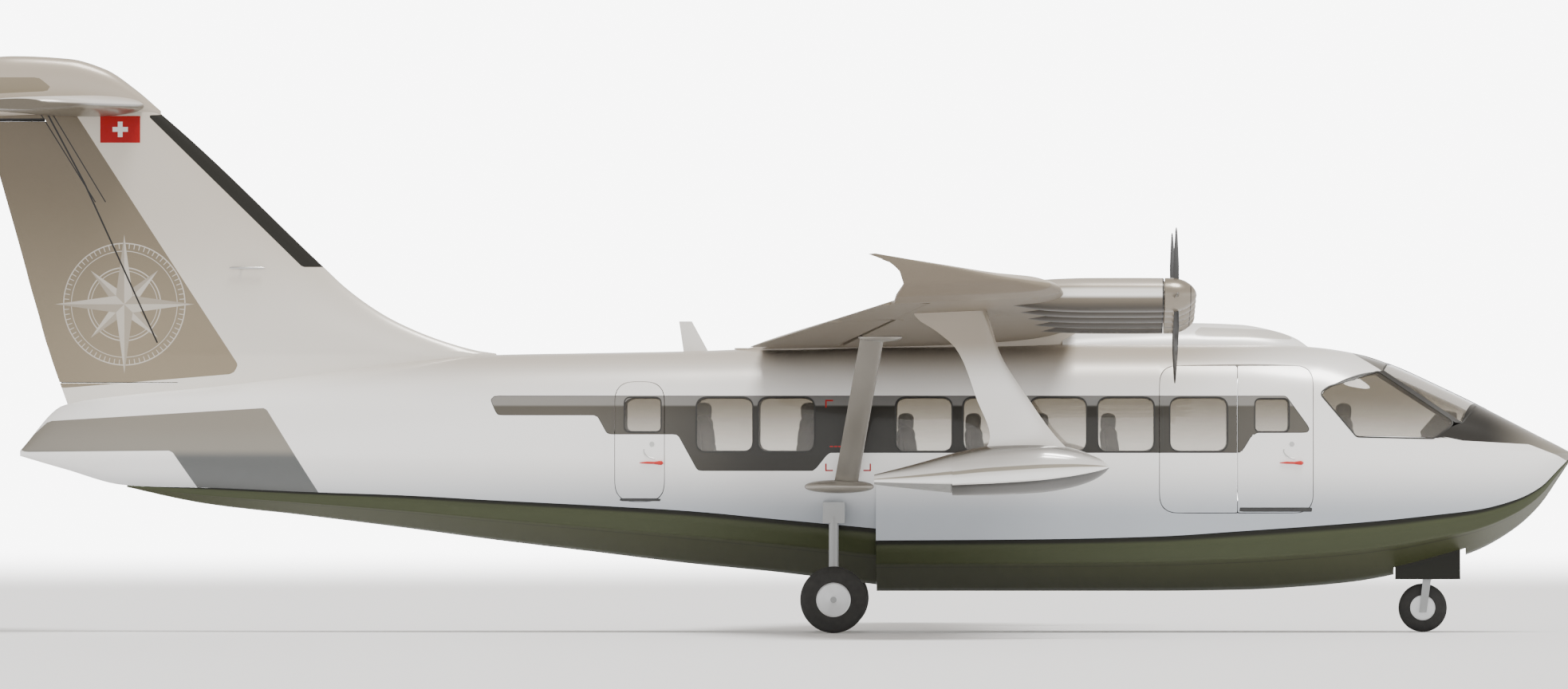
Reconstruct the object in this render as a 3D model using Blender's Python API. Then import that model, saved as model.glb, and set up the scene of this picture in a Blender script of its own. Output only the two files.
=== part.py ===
"""Electric flying boat: a strutted high-wing amphibian with ten propellers, a T-tail, wing floats and wheels.

Metres. +X is forward, +Y is the port side, +Z is up.
The origin is on the ground, under the middle of the object.
"""

import math

import bmesh
import bpy
import numpy as np
from mathutils import Matrix, Vector

# The gap that solids which touch keep between them, and the gap round what moves
TOUCH = 0.0003
RUNNING = 0.006
LATCH_GAP = 0.016
# Faces that bend less than FLAT become one, and edges that bend more than CREASE are drawn sharp
FLAT = math.radians(0.015)
CREASE = math.radians(32)

# The hull above the chine. Columns: x, roof z, half width at the shoulder line, squareness of the section
SHOULDER_Z = 1.946
WALL = 0.05
BODY = (
    (-8.138, 1.990, 0.020, 2.0),
    (-7.656, 2.489, 0.130, 2.0),
    (-6.965, 2.603, 0.280, 2.1),
    (-6.081, 2.690, 0.440, 2.2),
    (-5.031, 2.813, 0.610, 2.3),
    (-3.981, 2.953, 0.770, 2.5),
    (-2.931, 3.040, 0.900, 2.8),
    (-1.881, 3.060, 0.990, 3.1),
    (-0.831, 3.080, 1.050, 3.3),
    (0.219, 3.119, 1.090, 3.3),
    (1.278, 3.158, 1.100, 3.3),
    (4.331, 3.171, 1.100, 3.3),
    (5.294, 3.163, 1.100, 3.3),
    (5.994, 3.130, 1.090, 3.1),
    (6.519, 3.055, 1.060, 2.8),
    (6.913, 2.931, 1.010, 2.6),
    (7.394, 2.716, 0.920, 2.4),
    (7.831, 2.506, 0.800, 2.3),
    (8.269, 2.283, 0.620, 2.2),
    (8.531, 2.148, 0.460, 2.1),
    (8.750, 2.038, 0.270, 2.0),
    (8.881, 1.966, 0.030, 2.0),
)

# The planing bottom before and behind the step. Columns: x, chine z, chine half beam, keel z
STEP_X = 1.26
FOREBODY = (
    (1.261, 1.010, 1.080, 0.450),
    (3.019, 1.023, 1.080, 0.450),
    (4.331, 1.054, 1.070, 0.450),
    (5.294, 1.115, 1.050, 0.463),
    (5.994, 1.163, 1.020, 0.503),
    (6.519, 1.203, 0.980, 0.555),
    (6.913, 1.238, 0.930, 0.625),
    (7.394, 1.290, 0.840, 0.748),
    (7.831, 1.343, 0.720, 0.888),
    (8.269, 1.456, 0.530, 1.141),
    (8.531, 1.588, 0.360, 1.386),
    (8.750, 1.800, 0.170, 1.701),
    (8.881, 1.930, 0.020, 1.900),
)
AFTERBODY = (
    (-8.138, 1.930, 0.010, 1.903),
    (-7.656, 1.789, 0.015, 1.765),
    (-6.965, 1.609, 0.030, 1.590),
    (-6.081, 1.583, 0.190, 1.404),
    (-5.031, 1.539, 0.380, 1.281),
    (-3.981, 1.504, 0.550, 1.150),
    (-2.931, 1.448, 0.700, 1.010),
    (-1.881, 1.395, 0.820, 0.883),
    (-0.831, 1.334, 0.910, 0.756),
    (0.219, 1.238, 0.980, 0.651),
    (1.259, 1.141, 1.030, 0.520),
)
VOID_X = (-6.0, 7.95)
VOID_DROP = 0.1
# The production joint where the tail cone is bolted to the cabin's shell, behind the aft bulkhead
TAIL_JOINT = -1.90

# Rounded side openings. Columns: first x, last x, bottom z, top z, corner radius
CABIN_WINDOWS = tuple(
    (first, first + 0.61, 1.985, 2.572, 0.09) for first in (-0.700, -0.025, 1.479, 2.214, 2.949, 3.690)
)
DOORS = {
    "crew_door": (5.2145, 6.046, 1.308, 2.926, 0.16),
    "cargo_door": (4.358, 5.2155, 1.308, 2.926, 0.16),
    "rear_door": (-1.601, -1.050, 1.430, 2.751, 0.17),
}
DOOR_WINDOWS = {
    "crew_door": (5.408, 5.775, 2.200, 2.560, 0.05),
    "cargo_door": (4.480, 5.101, 1.985, 2.572, 0.09),
    "rear_door": (-1.488, -1.094, 2.200, 2.572, 0.05),
}
DOOR_SIDES = {"crew_door": ("left", "right"), "cargo_door": ("right",), "rear_door": ("left", "right")}
GLASS_INSET = 0.004
HINGE_RADIUS = 0.011
HINGE_OUT = 0.012
HINGE_LENGTH = 0.06
HINGE_HEIGHTS = (1.80, 2.35)
POST_X = (5.165, 5.265)

# Cockpit openings as outlines in side view, in x and z
SIDE_WINDOW = ((6.12, 2.64), (6.21, 2.68), (6.76, 2.856), (7.60, 2.300), (7.36, 2.130), (6.52, 2.148))
WINDSHIELD = ((6.815, 2.868), (6.915, 3.02), (7.95, 2.58), (7.849, 2.515), (7.670, 2.300))
CENTRE_POST = 0.03

# The floor's levels, each with its first x, and its last x. The cargo panel is a raised deck between the doors.
# Seat rows hold the x of the seat's middle and the way it faces
FLOOR_THICK = 0.02
FLOOR = ((-1.85, 1.425), (1.02, 1.310), (6.10, 1.420))
FLOOR_END = 7.28
BULKHEAD_TOP = 3.2
CARGO_PANEL = ((4.46, -0.88, 1.30), (5.94, 0.88, 1.32))
SEAT_ROWS = ((-0.60, 1), (0.48, -1), (1.62, 1), (2.36, 1), (3.10, 1), (3.84, 1))
SEAT_COLUMNS = {"left": (0.31, 0.72), "right": (-0.72,)}
SEAT_HALF = 0.20
SEAT_SIDE = ((0.10, 0.0), (0.36, 0.0), (0.36, 0.34), (0.50, 0.36), (0.52, 0.50), (0.16, 0.50), (-0.02, 1.06),
             (-0.10, 1.08), (-0.14, 1.04), (0.03, 0.40), (0.10, 0.34))
RAIL_HALF = 0.04
RAIL_HEIGHT = 0.03
CREW_SEATS = (6.42, 0.42)
PANEL_SIDE = ((7.23, 2.20), (7.44, 2.44), (7.62, 2.40), (7.62, 1.95), (7.27, 1.95))
PANEL_HALF = 0.72
CONSOLE_HALF = 0.14
BATTERY = ((2.3, -0.80, 1.1153), (5.28, 0.80, FLOOR[1][1] - FLOOR_THICK - TOUCH))

# The wing. Columns: y, leading edge x and z, trailing edge x and z, thickness share, cant of the section in
# degrees
WING_ROOT_Y = 0.95
WING = (
    (0.95, 3.456, 3.434, -0.175, 3.110, 0.150, 0),
    (10.30, 3.290, 3.749, 1.418, 3.591, 0.120, 0),
    (10.60, 3.180, 3.790, 1.450, 3.660, 0.115, 14),
    (10.80, 2.774, 3.862, 1.558, 3.790, 0.110, 36),
    (10.92, 2.144, 3.985, 1.540, 3.950, 0.100, 58),
    (10.97, 1.619, 4.072, 1.426, 4.055, 0.100, 68),
    (10.99, 1.330, 4.122, 1.243, 4.116, 0.100, 70),
)
CAMBER = 0.03
TRAILING_THICK = 0.008
SURFACE_HINGE = 0.74
FLAP_Y = (1.35, 6.60)
FLAP_RELIEF = math.radians(32)
AILERON_Y = (6.70, 10.05)
PIVOT_SHARE = 0.6
PLINTH = ((-0.10, 2.70), (3.25, 3.22))

# The fairing on the roof ahead of the wing. Columns: x, top z, half width
ROOF_FAIRING = (
    (3.35, 3.335, 0.46),
    (4.00, 3.372, 0.46),
    (4.70, 3.390, 0.44),
    (5.25, 3.372, 0.40),
    (5.60, 3.310, 0.33),
    (5.85, 3.225, 0.22),
    (6.02, 3.130, 0.06),
)
FAIRING_BASE = 3.0
AERIAL_SIDE = ((-0.849, 3.0), (-0.906, 3.408), (-0.765, 3.408), (-0.554, 3.0))
AERIAL_HALF = 0.012

# Nacelles and propellers
NACELLE_Y = (2.3, 3.9, 5.5, 7.1, 8.7)
NACELLE_Z = 3.456
NACELLE_RISE = 0.0355
NACELLE_FRONT = 4.392
NACELLE_PROFILE = ((2.45, 0.02), (2.80, 0.12), (3.20, 0.172), (3.60, 0.184), (4.392, 0.183))
SPINNER_BACK = 4.400
SPINNER_PROFILE = ((4.400, 0.183), (4.490, 0.183), (4.610, 0.155), (4.695, 0.100), (4.743, 0.0))
PROPELLER_X = 4.524
PROPELLER_RADIUS = 0.726
SHAFT_RADIUS = 0.05
# Columns: radius, chord, thickness, pitch angle in degrees
BLADE = (
    (0.100, 0.060, 0.030, 55),
    (0.340, 0.085, 0.014, 40),
    (0.600, 0.070, 0.008, 27),
    (0.726, 0.034, 0.005, 22),
)

# Lift struts, wing floats and their pylons
STRUT_FOOT = (0.945, 1.02, 1.590)
STRUT_HEAD = (1.262, 3.12, 3.270)
STRUT_SECTION = (0.26, 0.085)
# Fairings at the strut's ends: centre, half sizes
STRUT_FOOT_FAIRING = ((0.86, 1.075, 1.60), (0.38, 0.10, 0.085))
STRUT_HEAD_FAIRING = ((1.32, 3.08, 3.215), (0.22, 0.13, 0.06))
FLOAT_Y = 7.9
PYLON_TOP = 3.50
# Columns: z, leading edge x, trailing edge x
PYLON = (
    (3.60, 2.47, 1.66),
    (3.44, 2.52, 1.74),
    (3.30, 2.56, 1.95),
    (3.10, 2.62, 2.17),
    (2.56, 2.95, 2.39),
    (2.16, 3.24, 2.53),
    (1.98, 3.42, 2.46),
)
PYLON_THICK = 0.15
# Columns: x, top z, chine z, keel z, half beam
FLOAT = (
    (1.286, 1.758, 1.680, 1.652, 0.060),
    (1.700, 1.865, 1.668, 1.605, 0.190),
    (2.124, 1.985, 1.662, 1.562, 0.275),
    (2.126, 1.986, 1.653, 1.535, 0.285),
    (2.550, 2.068, 1.672, 1.540, 0.320),
    (3.040, 2.092, 1.706, 1.562, 0.310),
    (3.360, 2.052, 1.745, 1.610, 0.260),
    (3.620, 1.970, 1.790, 1.690, 0.170),
    (3.760, 1.895, 1.822, 1.775, 0.080),
    (3.806, 1.848, 1.838, 1.825, 0.015),
)

# The fin. Columns: z, leading edge x, trailing edge x, thickness
FIN = (
    (2.45, -3.30, -7.60, 0.20),
    (3.050, -2.90, -7.81, 0.22),
    (3.084, -3.106, -7.82, 0.23),
    (3.171, -3.43, -7.85, 0.25),
    (3.311, -3.806, -7.89, 0.28),
    (3.482, -4.148, -7.935, 0.30),
    (3.775, -4.56, -8.02, 0.31),
    (4.003, -4.804, -8.08, 0.31),
    (5.66, -6.56, -8.548, 0.20),
    (5.74, -6.66, -8.57, 0.18),
)
# The cap over the tailplane. Columns: x, top z, half width
FIN_CAP = (
    (-8.881, 6.050, 0.020),
    (-8.760, 6.220, 0.060),
    (-8.500, 6.300, 0.120),
    (-8.200, 6.320, 0.150),
    (-7.600, 6.290, 0.155),
    (-7.200, 6.175, 0.140),
    (-6.850, 5.940, 0.100),
    (-6.590, 5.715, 0.030),
)
FIN_CAP_BOTTOM = 5.66
RUDDER_HINGE = ((-6.501, 2.95), (-7.896, 5.709))
RUDDER_Z = (2.74, 5.60)
RUDDER_RADIUS = (0.130, 0.075)
RUDDER_END_GAP = 0.045
RUDDER_PIN = 0.024

# The tailplane. Columns: y, leading edge x, trailing edge x
TAILPLANE_Z = 5.77
TAILPLANE = ((0.0, -6.74, -8.84), (3.05, -7.33, -8.80), (3.25, -7.47, -8.79), (3.35, -7.75, -8.76))
TAILPLANE_THICK = 0.11
ELEVATOR_X = -8.33
ELEVATOR_Y = (0.20, 3.10)
ELEVATOR_RADIUS = (0.062, 0.052)

# The wheels and their legs
NOSE_X = 7.30
NOSE_RADIUS = 0.27
NOSE_WIDTH = 0.17
NOSE_TRAIL = 0.05
WELL = ((6.93, -0.2, 0.3), (7.72, 0.2, 1.16))
WELL_DOOR = ((6.95, 0.58), (7.66, 1.0))
WELL_DOOR_THICK = 0.016
LEG_RADIUS = 0.055
LEG_BOTTOM = 0.70
FORK_CROWN = (0.575, 0.635)
TINE_THICK = 0.03
TINE_GAP = 0.012
MAIN_X = 0.80
MAIN_RADIUS = 0.37
MAIN_WIDTH = 0.25
MAIN_Y = 1.48
MAIN_KNEE = (1.20, 1.33)
WHEEL_SIDES = 20
AXLE_RADIUS = 0.032
BORE_RADIUS = 0.0330

# Columns: colour, roughness, metallic
FINISHES = {
    "white_paint": ((0.80, 0.79, 0.77), 0.22, 0.0),
    "olive_paint": ((0.060, 0.064, 0.042), 0.30, 0.0),
    "dark_grey_paint": ((0.10, 0.095, 0.09), 0.25, 0.0),
    "black_composite": ((0.02, 0.02, 0.02), 0.30, 0.0),
    "silver_paint": ((0.62, 0.60, 0.57), 0.20, 0.6),
    "glazing": ((0.55, 0.54, 0.51), 0.05, 0.0),
    "seat_cloth": ((0.16, 0.15, 0.14), 0.85, 0.0),
    "cabin_trim": ((0.30, 0.29, 0.27), 0.70, 0.0),
    "battery_case": ((0.22, 0.23, 0.24), 0.50, 0.2),
    "gear_metal": ((0.55, 0.56, 0.57), 0.35, 0.9),
    "tyre_rubber": ((0.03, 0.03, 0.03), 0.85, 0.0),
}


def material(name):
    """The named finish as a Principled material, made once."""
    if name in bpy.data.materials:
        return bpy.data.materials[name]
    made = bpy.data.materials.new(name)
    made.use_nodes = True
    shader = made.node_tree.nodes["Principled BSDF"]
    colour, roughness, metallic = FINISHES[name]
    shader.inputs["Base Color"].default_value = (*colour, 1)
    shader.inputs["Roughness"].default_value = roughness
    shader.inputs["Metallic"].default_value = metallic
    made.diffuse_color = (*colour, 1)
    return made


def curve_through(table, column, at):
    """A monotone cubic curve through one column of a table, read at places in its rising first column."""
    knots = np.array([row[0] for row in table])
    values = np.array([row[column] for row in table])
    at = np.asarray(at, float)
    width = np.diff(knots)
    slope = np.diff(values) / width
    tangent = np.concatenate([slope[:1], np.zeros(len(slope) - 1), slope[-1:]])
    for i in range(1, len(slope)):
        if slope[i - 1] * slope[i] > 0:
            before, after = 2 * width[i] + width[i - 1], width[i] + 2 * width[i - 1]
            tangent[i] = (before + after) / (before / slope[i - 1] + after / slope[i])
    k = np.clip(np.searchsorted(knots, at, side="right") - 1, 0, len(width) - 1)
    t = (at - knots[k]) / width[k]
    return (
        values[k] * (1 + 2 * t) * (1 - t) ** 2
        + tangent[k] * width[k] * t * (1 - t) ** 2
        + values[k + 1] * t * t * (3 - 2 * t)
        + tangent[k + 1] * width[k] * t * t * (t - 1)
    )


def add(name, points, faces, finish=None):
    """A mesh object. Without a finish it is a cutter, which is hidden."""
    mesh = bpy.data.meshes.new(name)
    mesh.from_pydata([tuple(map(float, p)) for p in points], [], faces)
    mesh.validate()
    made = bpy.data.objects.new(name, mesh)
    bpy.context.scene.collection.objects.link(made)
    if finish:
        made.data.materials.append(material(finish))
    else:
        made.hide_render = True
        made.display_type = "WIRE"
    return made


def loft(name, rings, finish=None):
    """A closed skin over rings with the same number of points, with both end rings filled, facing out.

    The quads' diagonals mirror each other, so that a skin over mirrored rings is mirrored too.
    """
    count = len(rings[0])
    points = [p for ring in rings for p in ring]
    faces = [tuple(range(count - 1, -1, -1)), tuple(range(len(points) - count, len(points)))]
    for k in range(len(rings) - 1):
        for i in range(count):
            j = (i + 1) % count
            low, high = k * count, (k + 1) * count
            if i < count // 2:
                faces += [(low + i, low + j, high + j), (low + i, high + j, high + i)]
            else:
                faces += [(low + i, low + j, high + i), (low + j, high + j, high + i)]
    made = add(name, points, faces, finish)
    face_out(made)
    return made


def face_out(thing):
    """Turns a closed mesh so that its faces point outwards."""
    mesh = thing.data
    mesh.calc_loop_triangles()
    corners = np.array([[mesh.vertices[v].co for v in t.vertices] for t in mesh.loop_triangles])
    if np.linalg.det(corners).sum() < 0:
        mesh.flip_normals()


def box(name, low, high, finish=None):
    """An upright box between two corners."""
    rings = [[(x, low[1], low[2]), (x, high[1], low[2]), (x, high[1], high[2]), (x, low[1], high[2])]
             for x in (low[0], high[0])]
    return loft(name, rings, finish)


def prism(name, outline, first_y, last_y, finish=None):
    """An outline in x and z carried along Y."""
    return loft(name, [[(x, y, z) for x, z in outline] for y in (first_y, last_y)], finish)


def rounded(first_x, last_x, low_z, high_z, radius, grow=0.0):
    """A rectangle with round corners in x and z, as a list of points."""
    outline = []
    steps = 3 if radius > 0.1 else 2
    corners = ((last_x - radius, high_z - radius, 0), (first_x + radius, high_z - radius, 90),
               (first_x + radius, low_z + radius, 180), (last_x - radius, low_z + radius, 270))
    for x, z, start in corners:
        for k in range(steps + 1):
            turn = math.radians(start + 90 * k / steps)
            outline.append((x + (radius + grow) * math.cos(turn), z + (radius + grow) * math.sin(turn)))
    return outline


def grown(outline, by):
    """A convex outline moved outwards by a distance, corner by corner."""
    points = [Vector(p) for p in outline]
    middle = sum(points, Vector((0, 0))) / len(points)
    made = []
    for before, here, after in zip(points[-1:] + points[:-1], points, points[1:] + points[:1]):
        sides = []
        for a, b in ((before, here), (here, after)):
            normal = Vector((b.y - a.y, a.x - b.x)).normalized()
            sides.append(normal if normal.dot(here - middle) > 0 else -normal)
        away = (sides[0] + sides[1]).normalized()
        made.append(tuple(here + away * by / max(0.3, away.dot(sides[0]))))
    return made


def combine(base, tool, how):
    """Joins, cuts or intersects base with tool, and bakes the result into base."""
    step = base.modifiers.new(how, "BOOLEAN")
    step.operation = how
    step.object = tool
    bpy.context.view_layer.update()
    result = base.evaluated_get(bpy.context.evaluated_depsgraph_get())
    mesh = bpy.data.meshes.new_from_object(result)
    base.modifiers.clear()
    base.data = mesh
    bpy.data.objects.remove(tool)
    return base


def join_all(base, *tools):
    """Unites base with each tool in turn."""
    for tool in tools:
        combine(base, tool, "UNION")
    return base


def turned(name, profile, centre, axis, finish=None, sides=16):
    """A solid of revolution. The profile holds distances along the axis and radii."""
    axis = Vector(axis).normalized()
    across = axis.orthogonal().normalized()
    third = axis.cross(across)
    rings = []
    for along, radius in profile:
        radius = max(radius, 0.002)
        rings.append([
            Vector(centre) + axis * along
            + (across * math.cos(turn) + third * math.sin(turn)) * radius
            for turn in (2 * math.pi * k / sides for k in range(sides))
        ])
    return loft(name, rings, finish)


def tube(name, first, last, radius, finish=None, sides=12):
    """A round bar between two points."""
    first, last = Vector(first), Vector(last)
    length = (last - first).length
    return turned(name, ((0, radius), (length, radius)), first, last - first, finish, sides)


def mirrored(thing, name):
    """A copy of a port piece on the starboard side."""
    mesh = thing.data.copy()
    mesh.transform(Matrix.Scale(-1, 4, (0, 1, 0)))
    mesh.flip_normals()
    made = bpy.data.objects.new(name, mesh)
    bpy.context.scene.collection.objects.link(made)
    made.hide_render = thing.hide_render
    made.display_type = thing.display_type
    return made


def duplicate(thing, name):
    """A copy of a piece where it is."""
    made = bpy.data.objects.new(name, thing.data.copy())
    bpy.context.scene.collection.objects.link(made)
    made.hide_render = thing.hide_render
    made.display_type = thing.display_type
    return made


def set_finish(thing, finish):
    """Merges the faces of a piece that lie in one plane, shades it smooth and gives it one finish."""
    work = bmesh.new()
    work.from_mesh(thing.data)
    bmesh.ops.dissolve_limit(work, angle_limit=FLAT, verts=work.verts, edges=work.edges)
    work.to_mesh(thing.data)
    work.free()
    thing.data.materials.clear()
    thing.data.materials.append(material(finish))
    for face in thing.data.polygons:
        face.material_index = 0
    thing.data.shade_smooth()
    thing.data.set_sharp_from_angle(angle=CREASE)
    thing.hide_render = False
    thing.display_type = "TEXTURED"
    return thing


def hang(thing, pivot_point):
    """Puts a piece's origin on its joint's axis and leaves the piece where it is."""
    thing.data.transform(Matrix.Translation(-Vector(pivot_point)))
    thing.location = pivot_point
    return thing


def chine_at(x, column):
    """A column of the planing bottom's tables at x, before or behind the step."""
    return float(curve_through(FOREBODY if x > STEP_X else AFTERBODY, column, x))


def body_ring(x, inset=0.0, drop=0.0):
    """The section at x above the chine: a slightly flared side below the shoulder, a squarish arch above it."""
    roof, width, square = (float(curve_through(BODY, c, x)) for c in (1, 2, 3))
    chine_z, chine_beam = chine_at(x, 1) - drop, chine_at(x, 2)
    roof, width, chine_beam = roof - inset, max(width - inset, 0.004), max(chine_beam - inset, 0.003)
    half = []
    for t in (1, 0.5):
        half.append((width - (width - chine_beam) * t * t, SHOULDER_Z + (chine_z - SHOULDER_Z) * t))
    for k in range(8):
        turn = math.pi / 2 * k / 7
        half.append((
            width * max(math.cos(turn), 0) ** (2 / square),
            SHOULDER_Z + (roof - SHOULDER_Z) * math.sin(turn) ** (2 / square),
        ))
    half[-1] = (0.0, roof)
    return [(x, y, z) for y, z in half] + [(x, -y, z) for y, z in half[-2::-1]]


def body_stations(first, last):
    """The places of the body's sections: its knots, more round the cockpit, and both sides of the step."""
    knots = [row[0] for row in BODY]
    middles = [(a + b) / 2 for a, b in zip(knots, knots[1:]) if a > 5.9 or b < -7]
    near_step = [STEP_X - 0.001, STEP_X + 0.001]
    inner = [x for x in knots + middles if first < x < last and abs(x - STEP_X) > 0.02]
    return sorted([first, last] + [x for x in near_step if first < x < last] + inner)


def body_solid(name, inset=0.0, drop=0.0, span=(BODY[0][0], BODY[-1][0])):
    """The body above the chine as one block, its surface moved in by inset."""
    return loft(name, [body_ring(x, inset, drop) for x in body_stations(*span)])


def void_solid(name, inset=WALL, span=VOID_X):
    """The room inside the hull, down through the chine plane."""
    return body_solid(name, inset, VOID_DROP, span)


def skin_layer(name, outer, inner, outline):
    """The body's skin between two depths, over the length of an outline and a little more."""
    first, last = min(x for x, _ in outline) - 0.1, max(x for x, _ in outline) + 0.1
    layer = body_solid(name, outer, 0.0, (first, last))
    return combine(layer, void_solid(name + "_core", inner, (first - 0.1, last + 0.1)), "DIFFERENCE")


def side_cutter(name, outline, side, depth=(0.35, 1.3)):
    """A prism through the hull's wall on one side: +1 is port."""
    return prism(name, outline, side * depth[0], side * depth[1])


def sides_of(names):
    return [(side, 1 if side == "left" else -1) for side in names]


def fuselage():
    """The hull's white upper shell with its openings and door hinges, and the tail cone behind its joint."""
    shell = combine(body_solid("fuselage_shell"), void_solid("core"), "DIFFERENCE")
    for side, sign in sides_of(("left", "right")):
        holes = [rounded(*opening) for opening in CABIN_WINDOWS]
        holes += [rounded(*(DOORS if side in DOOR_SIDES[name] else DOOR_WINDOWS)[name]) for name in DOORS]
        for hole in holes:
            combine(shell, side_cutter("cut", hole, sign), "DIFFERENCE")
        combine(shell, side_cutter("cut", SIDE_WINDOW, sign, (0.1, 1.3)), "DIFFERENCE")
        combine(shell, side_cutter("cut", WINDSHIELD, sign, (CENTRE_POST, 1.3)), "DIFFERENCE")
        if side in DOOR_SIDES["cargo_door"]:
            combine(shell, door_post(sign), "UNION")
        for name in DOORS:
            if side in DOOR_SIDES[name]:
                join_all(shell, *door_ears(name, side, sign))
    cone = duplicate(shell, "tail_cone")
    reach = 2 * BODY[-1][0]
    for piece, span in ((cone, (-reach, TAIL_JOINT)), (shell, (TAIL_JOINT + TOUCH, reach))):
        combine(piece, box("half", (span[0], -reach, -reach), (span[1], reach, reach)), "INTERSECT")
        set_finish(piece, "white_paint")


def door_axis(name):
    """Where a door's upright hinge line stands, on the port side."""
    x = DOORS[name][0] + RUNNING / 2
    return x, float(curve_through(BODY, 2, x)) + HINGE_OUT


def door_post(sign):
    """The post inside the seam between the cargo door and the crew door."""
    span = ((POST_X[0], 0), (POST_X[1], 0))
    post = skin_layer("post", WALL - 0.01, WALL + 0.035, span)
    low, high = sorted((0.3 * sign, 1.3 * sign))
    combine(post, box("cut", (POST_X[0], low, 1.19), (POST_X[1], high, 3.04)), "INTERSECT")
    for name in ("crew_door", "cargo_door"):
        first, last, low_z, high_z, radius = DOORS[name]
        relief = skin_layer("relief", -0.02, WALL + 0.010, ((first, 0), (last, 0)))
        outline = rounded(first, last, low_z, high_z, radius, 0.01)
        combine(relief, side_cutter("cut", outline, sign), "INTERSECT")
        combine(post, relief, "DIFFERENCE")
    return post


def hinge_lug(x, y, sign, reach, depth, low, high):
    """An upright lug: a flat arm, reach long and depth deep, with a round end about the hinge line."""
    ahead = math.copysign(1, reach)
    plan = [(x + reach, y - depth), (x + reach, y + 0.006), (x + 0.009 * ahead, y + 0.006)]
    plan += [(x + HINGE_RADIUS * math.cos(t) * ahead, y + HINGE_RADIUS * math.sin(t))
             for t in np.linspace(math.radians(60), math.radians(240), 4)]
    plan += [(x + 0.001 * ahead, y - HINGE_RADIUS), (x + 0.001 * ahead, y - depth)]
    return loft("lug", [[(a, sign * b, z) for a, b in plan] for z in (low, high)])


def door_knuckles(name, sign):
    """The door's own half of its hinge, at each height."""
    x, y = door_axis(name)
    half = HINGE_LENGTH / 2
    return [hinge_lug(x, y, sign, 0.05, 0.05, height - half, height + half) for height in HINGE_HEIGHTS]


def door_ears(name, side, sign):
    """The hull's ear below each knuckle, on the skin behind the door or on the post behind the seam."""
    x, y = door_axis(name)
    on_post = name == "crew_door" and side in DOOR_SIDES["cargo_door"]
    reach, depth = (-0.014, 0.10) if on_post else (-0.05, 0.05)
    top = HINGE_LENGTH / 2 + TOUCH * 1.3
    return [hinge_lug(x, y, sign, reach, depth, height - top - 0.03, height - top) for height in HINGE_HEIGHTS]


def doors():
    """Doors as thick as the wall, each with its window cut and its pane set in flush."""
    for name, (first, last, low, high, radius) in DOORS.items():
        for side, sign in sides_of(DOOR_SIDES[name]):
            outline = rounded(first + RUNNING, last - LATCH_GAP, low + RUNNING, high - RUNNING, radius)
            door = skin_layer(f"{name}_{side}", 0.0, WALL, outline)
            combine(door, side_cutter("cut", outline, sign), "INTERSECT")
            window = rounded(*DOOR_WINDOWS[name])
            combine(door, side_cutter("cut", window, sign), "DIFFERENCE")
            join_all(door, *door_knuckles(name, sign))
            set_finish(door, "white_paint")
            hinge_x, hinge_y = door_axis(name)
            hang(door, (hinge_x, sign * hinge_y, (low + high) / 2))
            pane_outline = rounded(*DOOR_WINDOWS[name], grow=-TOUCH)
            pane = skin_layer(f"{name}_window_{side}", GLASS_INSET, WALL - 0.02, pane_outline)
            combine(pane, side_cutter("cut", pane_outline, sign), "INTERSECT")
            set_finish(pane, "glazing")


def liner(name, outline, sign, depth=(0.35, 1.3)):
    """A thin sheet that lies on the inside of the wall behind an outline."""
    sheet = skin_layer(name, WALL + TOUCH, WALL + 0.012, outline)
    return combine(sheet, side_cutter("cut", outline, sign, depth), "INTERSECT")


def add_pad(panel, outline, sign, depth=(0.35, 1.3)):
    """Joins to a liner the pad that fills one opening."""
    pad = skin_layer("pad", GLASS_INSET, WALL + 0.008, outline)
    combine(pad, side_cutter("cut", outline, sign, depth), "INTERSECT")
    combine(panel, pad, "UNION")


def glazing():
    """Cabin and cockpit panes: a thin liner inside the wall, with a pad that fills each opening flush."""
    for side, sign in sides_of(("left", "right")):
        fixed = [DOOR_WINDOWS[name] for name in DOORS if side not in DOOR_SIDES[name]]
        end = max(opening[1] for opening in list(CABIN_WINDOWS) + fixed) + 0.04
        panel = liner(f"cabin_windows_{side}", rounded(CABIN_WINDOWS[0][0] - 0.06, end, 1.93, 2.63, 0.1), sign)
        for opening in list(CABIN_WINDOWS) + fixed:
            add_pad(panel, rounded(*opening, grow=-TOUCH), sign)
        set_finish(panel, "glazing")
    outline = ((6.06, 2.64), (6.80, 2.92), (6.90, 3.1), (7.93, 2.60), (7.93, 2.45), (7.66, 2.10), (6.50, 2.08))
    cockpit = liner("cockpit_glazing", outline, 1, (-1.3, 1.3))
    for sign in (1, -1):
        add_pad(cockpit, grown(SIDE_WINDOW, -TOUCH), sign, (0.1, 1.3))
        add_pad(cockpit, grown(WINDSHIELD, -TOUCH), sign, (CENTRE_POST + TOUCH, 1.3))
    set_finish(cockpit, "glazing")


def planing_bottom(name, table, first, last):
    """A closed V bottom under the chine, with a stepped-in rail below the chine and a narrow keel."""
    rings = []
    for x in body_stations(first, last):
        chine_z, beam, keel_z = (float(curve_through(table, c, x)) for c in (1, 2, 3))
        depth = chine_z - keel_z
        half = ((beam, 0.0), (0.985 * beam, 0.20), (0.90 * beam, 0.46), (0.10 * beam, 0.94))
        right = [(y, chine_z - TOUCH - depth * share) for y, share in half]
        keel = [(0.0, keel_z)]
        rings.append([(x, y, z) for y, z in right + keel] + [(x, -y, z) for y, z in right[::-1]])
    return loft(name, rings, "olive_paint")


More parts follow.
